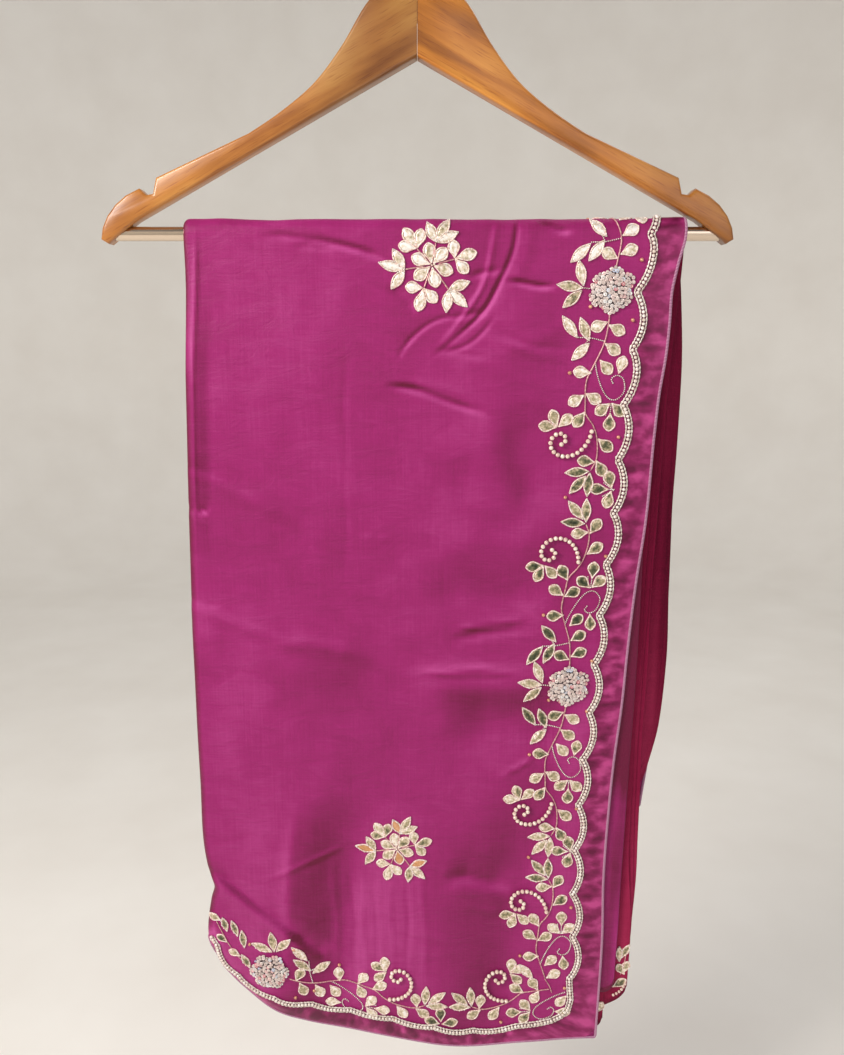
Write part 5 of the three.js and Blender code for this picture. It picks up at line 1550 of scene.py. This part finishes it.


# How dark the painted reflection is: by the petal's own tone, most at its middle, with blotches
# about 2.4 mm wide.
gota_middle = add_node(
    GOTA,
    "ShaderNodeMath",
    {0: parabola(gota_split.outputs[0]), 1: parabola(gota_split.outputs[1])},
    operation="MULTIPLY",
).outputs[0]
gota_dark = add_node(
    GOTA, "ShaderNodeMath", {0: gota_middle, 1: gota_tone}, operation="MULTIPLY"
).outputs[0]
gota_uneven = add_node(
    GOTA, "ShaderNodeMath", {0: gota_blotch, 1: -0.5}, operation="ADD"
).outputs[0]
gota_depth = add_node(
    GOTA,
    "ShaderNodeMath",
    {0: gota_uneven, 1: 1.3, 2: gota_dark},
    operation="MULTIPLY_ADD",
).outputs[0]
gota_shaded = add_node(
    GOTA,
    "ShaderNodeMath",
    {0: gota_tone, 1: 0.35, 2: gota_depth},
    operation="MULTIPLY_ADD",
).outputs[0]
GOTA_GREENS = [
    (0.0, "#fffaf4"), (0.2, "#ecdcc6"), (0.42, "#b6a886"), (0.68, "#636449"), (1.0, "#2c3424")
]
gota_green = add_node(GOTA, "ShaderNodeValToRGB", {"Fac": gota_shaded}, stops=GOTA_GREENS)
gota_colour = add_node(
    GOTA,
    "ShaderNodeMixRGB",
    {"Fac": gota_warm, "Color1": gota_green.outputs[0], "Color2": linear("#dc9a66")},
    blend_type="MIX",
)
gota_stretch = add_node(
    GOTA, "ShaderNodeMapping", {"Vector": gota_flat, "Scale": (1.0, 5.0, 1.0)}
).outputs[0]
gota_ribs = add_node(
    GOTA,
    "ShaderNodeTexWave",
    {"Vector": gota_stretch, "Scale": 1.0, "Distortion": 0.8},
    wave_type="BANDS",
    bands_direction="Y",
).outputs[1]
gota_bump = add_node(
    GOTA, "ShaderNodeBump", {"Height": gota_ribs, "Strength": 0.25, "Distance": 0.0003}
)
shade(
    GOTA,
    Base_Color=gota_colour.outputs[0],
    Metallic=0.4,
    Roughness=0.3,
    Normal=gota_bump.outputs[0],
)

# Couching cord: pale gold thread with a pinkish core.
EDGING = new_finish("pale_gold_couching_cord")
edging_colour, edging_twist = mottled(
    EDGING, 800.0, 1.0, [(0.3, "#cea69a"), (0.5, "#f6dfd2"), (0.7, "#fff9f4")]
)
edging_bump = add_node(
    EDGING, "ShaderNodeBump", {"Height": edging_twist, "Strength": 0.4, "Distance": 0.0003}
)
shade(
    EDGING,
    Base_Color=edging_colour,
    Metallic=0.1,
    Roughness=0.4,
    Normal=edging_bump.outputs[0],
)

# Stem thread: rose-gold metallic yarn.
STEM = new_finish("rose_gold_thread")
stem_colour, _ = mottled(
    STEM, 700.0, 1.0, [(0.32, "#b87a86"), (0.55, "#d8a4a4"), (0.75, "#ecccbc")]
)
shade(STEM, Base_Color=stem_colour, Metallic=0.35, Roughness=0.4)

# Blush pearls: pink-cream glass with a bright skin.
BLUSH = new_finish("blush_glass_pearl")
blush_colour, _ = mottled(BLUSH, 300.0, 1.0, [(0.3, "#dcb8ae"), (0.5, "#efd8c8"), (0.7, "#fbf1e4")])
shade(BLUSH, Base_Color=blush_colour, Roughness=0.16, Coat_Weight=0.7, Specular_IOR_Level=0.6)

# Gold dots: orange-gold metal beads.
GOLD = new_finish("orange_gold_bead")
gold_colour, _ = mottled(GOLD, 500.0, 1.0, [(0.3, "#b47c62"), (0.6, "#ecb493")])
shade(GOLD, Base_Color=gold_colour, Metallic=0.45, Roughness=0.28)

FRONT_VINES = [f"vine_side_{n}" for n in (1, 2, 3, 4)] + ["vine_hem_1", "vine_hem_2"]


def make_up(work, name, nodes):
    """Makes a motif collection into one piece for each kind of part in it."""
    points, faces = join([(p, f) for p, f, *_ in work.petals])
    flat, tone, warm = (np.concatenate([part[k] for part in work.petals]) for k in (2, 3, 4))
    tones = {"tone": tone, "warm": warm}
    made = [
        add_piece(f"{name}_petals", points, faces, GOTA, "gota", flat, tones),
        add_piece(f"{name}_petal_cords", *join(work.outlines), EDGING, "gota"),
    ]
    if work.stitches:
        made.append(add_piece(f"{name}_leaf_stitches", *join(work.stitches), CREAM, "beads"))
    if work.stems:
        made.append(add_piece(f"{name}_stems", *join(work.stems), STEM, "gota"))
    if work.pearls:
        made.append(add_piece(f"{name}_pearls", *join(work.pearls), BLUSH, "beads"))
    if work.dots:
        made.append(add_piece(f"{name}_dots", *join(work.dots), GOLD, "beads"))
    if nodes:
        for piece in made:
            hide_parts(*nodes)


make_up(vine_front, "vine_front", FRONT_VINES)
make_up(vine_back, "vine_back", [])
make_up(behind, "vine_behind", [])
make_up(behind_third, "vine_on_third_fold", [])

# ---------------------------------------------------------------- butas
# A buta is a lone flower of six petals with six small sprigs about it, on the plain ground.

# Fans: middle across and up, 1 for leaves or 0 for petals, and each one's heading and reach.
BUTA_HEADINGS = (100, 48, -18, -78, -142, 156)
BUTA_FANS = [
    (2.8, 15, 1, ((115, 15), (60, 19), (24, 17))),
    (15.6, 4.2, 0, ((96, 13), (17, 16), (-46, 13.4))),
    (11.4, -16, 1, ((20, 16), (-42, 18), (-96, 16))),
    (-5.6, -15, 0, ((176, 13), (-104, 16.5), (-46, 13.6))),
    (-18.4, -2.8, 1, ((166, 19), (121, 16.4), (-126, 16.5))),
    (-10, 11, 0, ((170, 13.4), (125, 16.4), (76, 13.6))),
]
BUTA_STALKS = [(2.8, 15.4), (16.1, 4.2), (11.9, -16.8), (-5.6, -15.7), (-18.9, -2.8), (-10.5, 11.2)]
BUTA_SEEDS = np.array([(0.0, 0.0), (1.6, 0.6), (-1.2, 1.0)])
PETAL_WIDTH, SPRIG_PETAL_WIDTH, SPRIG_LEAF_WIDTH = 8.2, 7.6, 6.6
PETAL_START, SPRIG_START = 1.6, 0.6  # how far out from its fan's middle each begins


def fanned(x, up, turn, start, end, width, leaf):
    """A petal's row, from where it begins and ends on its heading, out from its fan's middle."""
    angle = np.radians(turn)
    reach = start + (end - start) / 2
    return x + reach * np.cos(angle), up + reach * np.sin(angle), turn, end - start, width, leaf


BUTA_PETALS = [fanned(0, 0, turn, PETAL_START, 14.8, PETAL_WIDTH, 0) for turn in BUTA_HEADINGS]
for fan_x, fan_up, leaf, fan in BUTA_FANS:
    width = SPRIG_LEAF_WIDTH if leaf else SPRIG_PETAL_WIDTH
    for turn, length in fan:
        BUTA_PETALS.append(fanned(fan_x, fan_up, turn, SPRIG_START, length - 0.8, width, leaf))


def buta(name, x, path, size, tone, warm):
    """One lone flower, centred at x and path. tone is how dark its foil's painted reflection is,
    and warm how much of a painted orange glint some of its petals get.
    """
    work = Motifs()
    place = on_plain(x, path, size)
    work.add_petals(BUTA_PETALS, place, tone, warm, size)
    for right, up in BUTA_STALKS:
        work.add_stem([(0.25 * right, 0.25 * up), (0.7 * right, 0.7 * up), (right, up)], place)
    work.add_pearls(BUTA_SEEDS, place, 0.8)
    make_up(work, name, [name])


buta("buta_top", 9.8, 21.3 + QUARTER, 1.0, 0.08, 0.0)
buta("buta_low", -16.4, 457.8 + QUARTER, 0.89, 0.3, 0.8)
buta("buta_back", -28, -300 - QUARTER, 1.0, 0.45, 0.2)

# ---------------------------------------------------------------- sequin flowers
# Each flower is a padded round of six lobes, closely sewn with cupped sequins that overlap and are
# held by silver seed beads.

SEQUIN_HUES = [
    (0.0, "#f49ca6"), (0.25, "#fff0ea"), (0.5, "#ead2cc"), (0.75, "#ffffff"), (1.0, "#b4caf6")
]
SEQUIN = new_finish("cupped_iridescent_sequin")
sequin_hue = add_node(SEQUIN, "ShaderNodeAttribute", attribute_name="hue").outputs["Fac"]
sequin_colour = add_node(SEQUIN, "ShaderNodeValToRGB", {"Fac": sequin_hue}, stops=SEQUIN_HUES)
shade(SEQUIN, Base_Color=sequin_colour.outputs[0], Metallic=0.12, Roughness=0.16, Coat_Weight=1.0)

# The padding under them is coloured dark grey-brown as painted shade, so the gaps between the
# sequins show as dark specks.
SHADED_PAD = new_finish("dark_padding_painted_shade")
shaded_pad_colour, _ = mottled(SHADED_PAD, 900.0, 2.0, [(0.35, "#43343a"), (0.65, "#6e605e")])
shade(SHADED_PAD, Base_Color=shaded_pad_colour, Roughness=0.9)

LOBES = 6
SEQUIN_RINGS = ((2.5, 6), (4.9, 12), (7.2, 18), (9.5, 24), (11.8, 30), (13.8, 35))  # radius, count
# A sequin's section as (radius, height): from the rim of its hole over its cup and back under.
SEQUIN_CUP = [(0.45, 0.1), (0.8, 0.0), (1.4, 0.36), (1.4, 0.28), (0.8, -0.1), (0.45, 0.0)]
SEQUIN_SIDES = 9
SEQUIN_POINTS = len(SEQUIN_CUP) * SEQUIN_SIDES
SEQUIN_TILT = 0.4
PINK_ABOVE = 4  # height over a flower's middle from which its pink begins
PAD_RADIUS, PAD_RINGS, PAD_SIDES = 14.0, 7, 42


def lobed(angle, radius):
    """The outline of a flower of six lobes."""
    return radius * (0.8 + 0.22 * np.abs(np.cos(LOBES * angle / 2)) ** 0.8)


def unit(vectors):
    """Each vector at length 1."""
    return vectors / np.linalg.norm(vectors, axis=1, keepdims=True)


def sequin_flower(name, place, node, pink=0.0):
    """Sequins in rings over a padded round, each a cupped disc with a hole, tilted at random.
    pink is how much pinker its upper part is."""
    flower_rng = np.random.default_rng(len(name) * 7 + 3)
    spots = [(0.0, 0.0)]
    for ring_radius, count in SEQUIN_RINGS:
        angle = np.linspace(0, 2 * np.pi, count, endpoint=False) + flower_rng.uniform(0, 0.5)
        reach = lobed(angle, ring_radius) * 1.06
        spots += list(zip(reach * np.cos(angle), reach * np.sin(angle)))
    spots = np.array(spots) + flower_rng.uniform(-0.5, 0.5, (len(spots), 2))
    pad_height = 2.2 * (1 - (np.hypot(*spots.T) / 17) ** 2) + 0.4
    centres, normals = lay(*place(spots[:, 0], spots[:, 1]), pad_height)
    side = unit(np.cross(normals, (0.0, 0.0, 1.0)))
    up = np.cross(normals, side)
    tilt = flower_rng.uniform(-SEQUIN_TILT, SEQUIN_TILT, (len(spots), 2))
    out = unit(normals + side * tilt[:, :1] + up * tilt[:, 1:])
    side = unit(np.cross(out, up))
    up = np.cross(side, out)
    angle = np.linspace(0, 2 * np.pi, SEQUIN_SIDES, endpoint=False)[:, None]
    spokes = side[:, None] * np.cos(angle) + up[:, None] * np.sin(angle)
    rings = [
        centres[:, None] + radius * spokes + height * out[:, None] for radius, height in SEQUIN_CUP
    ]
    faces = grid_faces(len(SEQUIN_CUP) + 1, SEQUIN_SIDES, True) % SEQUIN_POINTS
    hue = np.clip(
        flower_rng.normal(0.45 - pink * (spots[:, 1] > PINK_ABOVE), 0.22, len(spots)), 0, 1
    )
    sequins = add_piece(
        name,
        np.stack(rings, 1),
        repeated(faces, len(spots), SEQUIN_POINTS),
        SEQUIN,
        "sequin",
        tones={"hue": np.repeat(hue, SEQUIN_POINTS)},
    )
    seeds = scatter(SEED, centres + 0.25 * out, 0.55)
    trim = add_piece(f"{name}_seeds", *seeds, SILVER, "sequin")
    share = np.linspace(0.02, 1, PAD_RINGS)[:, None]
    angle = np.linspace(0, 2 * np.pi, PAD_SIDES, endpoint=False)
    reach = share * lobed(angle, PAD_RADIUS)
    pad_spots = place(reach * np.cos(angle), reach * np.sin(angle))
    pad_points, _ = lay(*pad_spots, 0.2 + 2.0 * (1 - share**2))
    padding = add_piece(f"{name}_pad", pad_points, closed_tube(PAD_RINGS, PAD_SIDES), SHADED_PAD, "sequin")
    for piece in (sequins, trim, padding):
        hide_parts(node)


def about(place):
    """Places round a flower's middle, from the vine places it sits in."""
    return lambda right, up: place(right, FLOWER_INSET + up)


sequin_flower("sequin_flower_1", about(on_side(FLOWER_1, 1)), "sequin_flower_front_1")
sequin_flower("sequin_flower_2", about(on_side(FLOWER_2, 1)), "sequin_flower_front_2")
sequin_flower("sequin_flower_hem", hem_flower_place, "sequin_flower_front_hem", 0.1)
sequin_flower("sequin_flower_behind", about(on_side(FLOWER_BACK, 1)), "sequin_flower_back")
back_hem_place = about(on_hem(-1, HEM_FLOWER_BACK, 1))
sequin_flower("sequin_flower_hem_behind", back_hem_place, "sequin_flower_back_hem")

# ---------------------------------------------------------------- studio
# A round pale floor sweeps up into a low wall all round and glows a little, which is painted
# light. A soft light stands high on the left, a larger and weaker one in front on the right and a
# third high behind, and the sky gives even light.

PAPER = new_finish("pale_matt_paper")
paper_colour, _ = mottled(PAPER, 6.0, 3.0, [(0.3, "#e4e0da"), (0.7, "#eae7e2")])
shade(
    PAPER,
    Base_Color=paper_colour,
    Roughness=0.9,
    Emission_Color=linear("#f0ede8"),
    Emission_Strength=0.12,
)

# In metres: the floor's height, how far out it stays flat, the radius of its sweep, and its wall.
FLOOR_Z, FLAT, SWEEP, WALL = -1.05, 2.2, 0.7, 3.2
FLOOR_SIDES = 64
sweep_turn = np.linspace(0, np.pi / 2, 13)
reach = np.concatenate([[0.4, 1.2], FLAT + SWEEP * np.sin(sweep_turn), [FLAT + SWEEP]])[:, None]
rise = np.concatenate([[0, 0], SWEEP - SWEEP * np.cos(sweep_turn), [WALL]])[:, None] + FLOOR_Z
around = np.linspace(0, 2 * np.pi, FLOOR_SIDES, endpoint=False)
floor_points = np.stack(
    np.broadcast_arrays(reach * np.cos(around), reach * np.sin(around), rise), -1
)
floor_mesh = bpy.data.meshes.new("floor")
floor_faces = np.concatenate(
    [grid_faces(len(reach), FLOOR_SIDES, True)[:, ::-1], cap(FLOOR_SIDES)]
)
floor_mesh.from_pydata(floor_points.reshape(-1, 3).tolist(), [], floor_faces.tolist())
floor_mesh.polygons.foreach_set("use_smooth", np.ones(len(floor_mesh.polygons), bool))
floor_mesh.materials.append(PAPER)
floor = bpy.data.objects.new("floor", floor_mesh)
scene.collection.objects.link(floor)


def soft_light(name, place, aim, size, watts, colour):
    """A square area light that faces a point."""
    lamp = bpy.data.lights.new(name, "AREA")
    lamp.size = size
    lamp.energy = watts
    lamp.color = linear(colour)[:3]
    light = bpy.data.objects.new(name, lamp)
    light.location = place
    light.rotation_euler = (Vector(aim) - Vector(place)).to_track_quat("-Z", "Y").to_euler()
    scene.collection.objects.link(light)


soft_light("key_light", (-1.15, -0.85, 0.45), (0, 0, -0.45), 0.6, 26, "#fffaf4")
soft_light("fill_light", (0.9, -1.8, 0.2), (0, 0, -0.5), 1.4, 7, "#f4f6ff")
soft_light("back_light", (0.9, 0.6, 1.1), (0, 0.2, -0.5), 1.0, 10, "#ffffff")
world = bpy.data.worlds.new("studio")
world.use_nodes = True
world.node_tree.nodes["Background"].inputs["Color"].default_value = linear("#f2f0ee")
world.node_tree.nodes["Background"].inputs["Strength"].default_value = 0.2
scene.world = world
scene.view_settings.view_transform = "Standard"

camera_data = bpy.data.cameras.new("camera")
camera_data.sensor_width = 36
camera_data.lens = 31.19
camera = bpy.data.objects.new("camera", camera_data)
camera.location = (0.0031, -0.6544, -0.2819)
camera.rotation_euler = (np.radians(77.6), 0.0, 0.0)
scene.collection.objects.link(camera)
scene.camera = camera
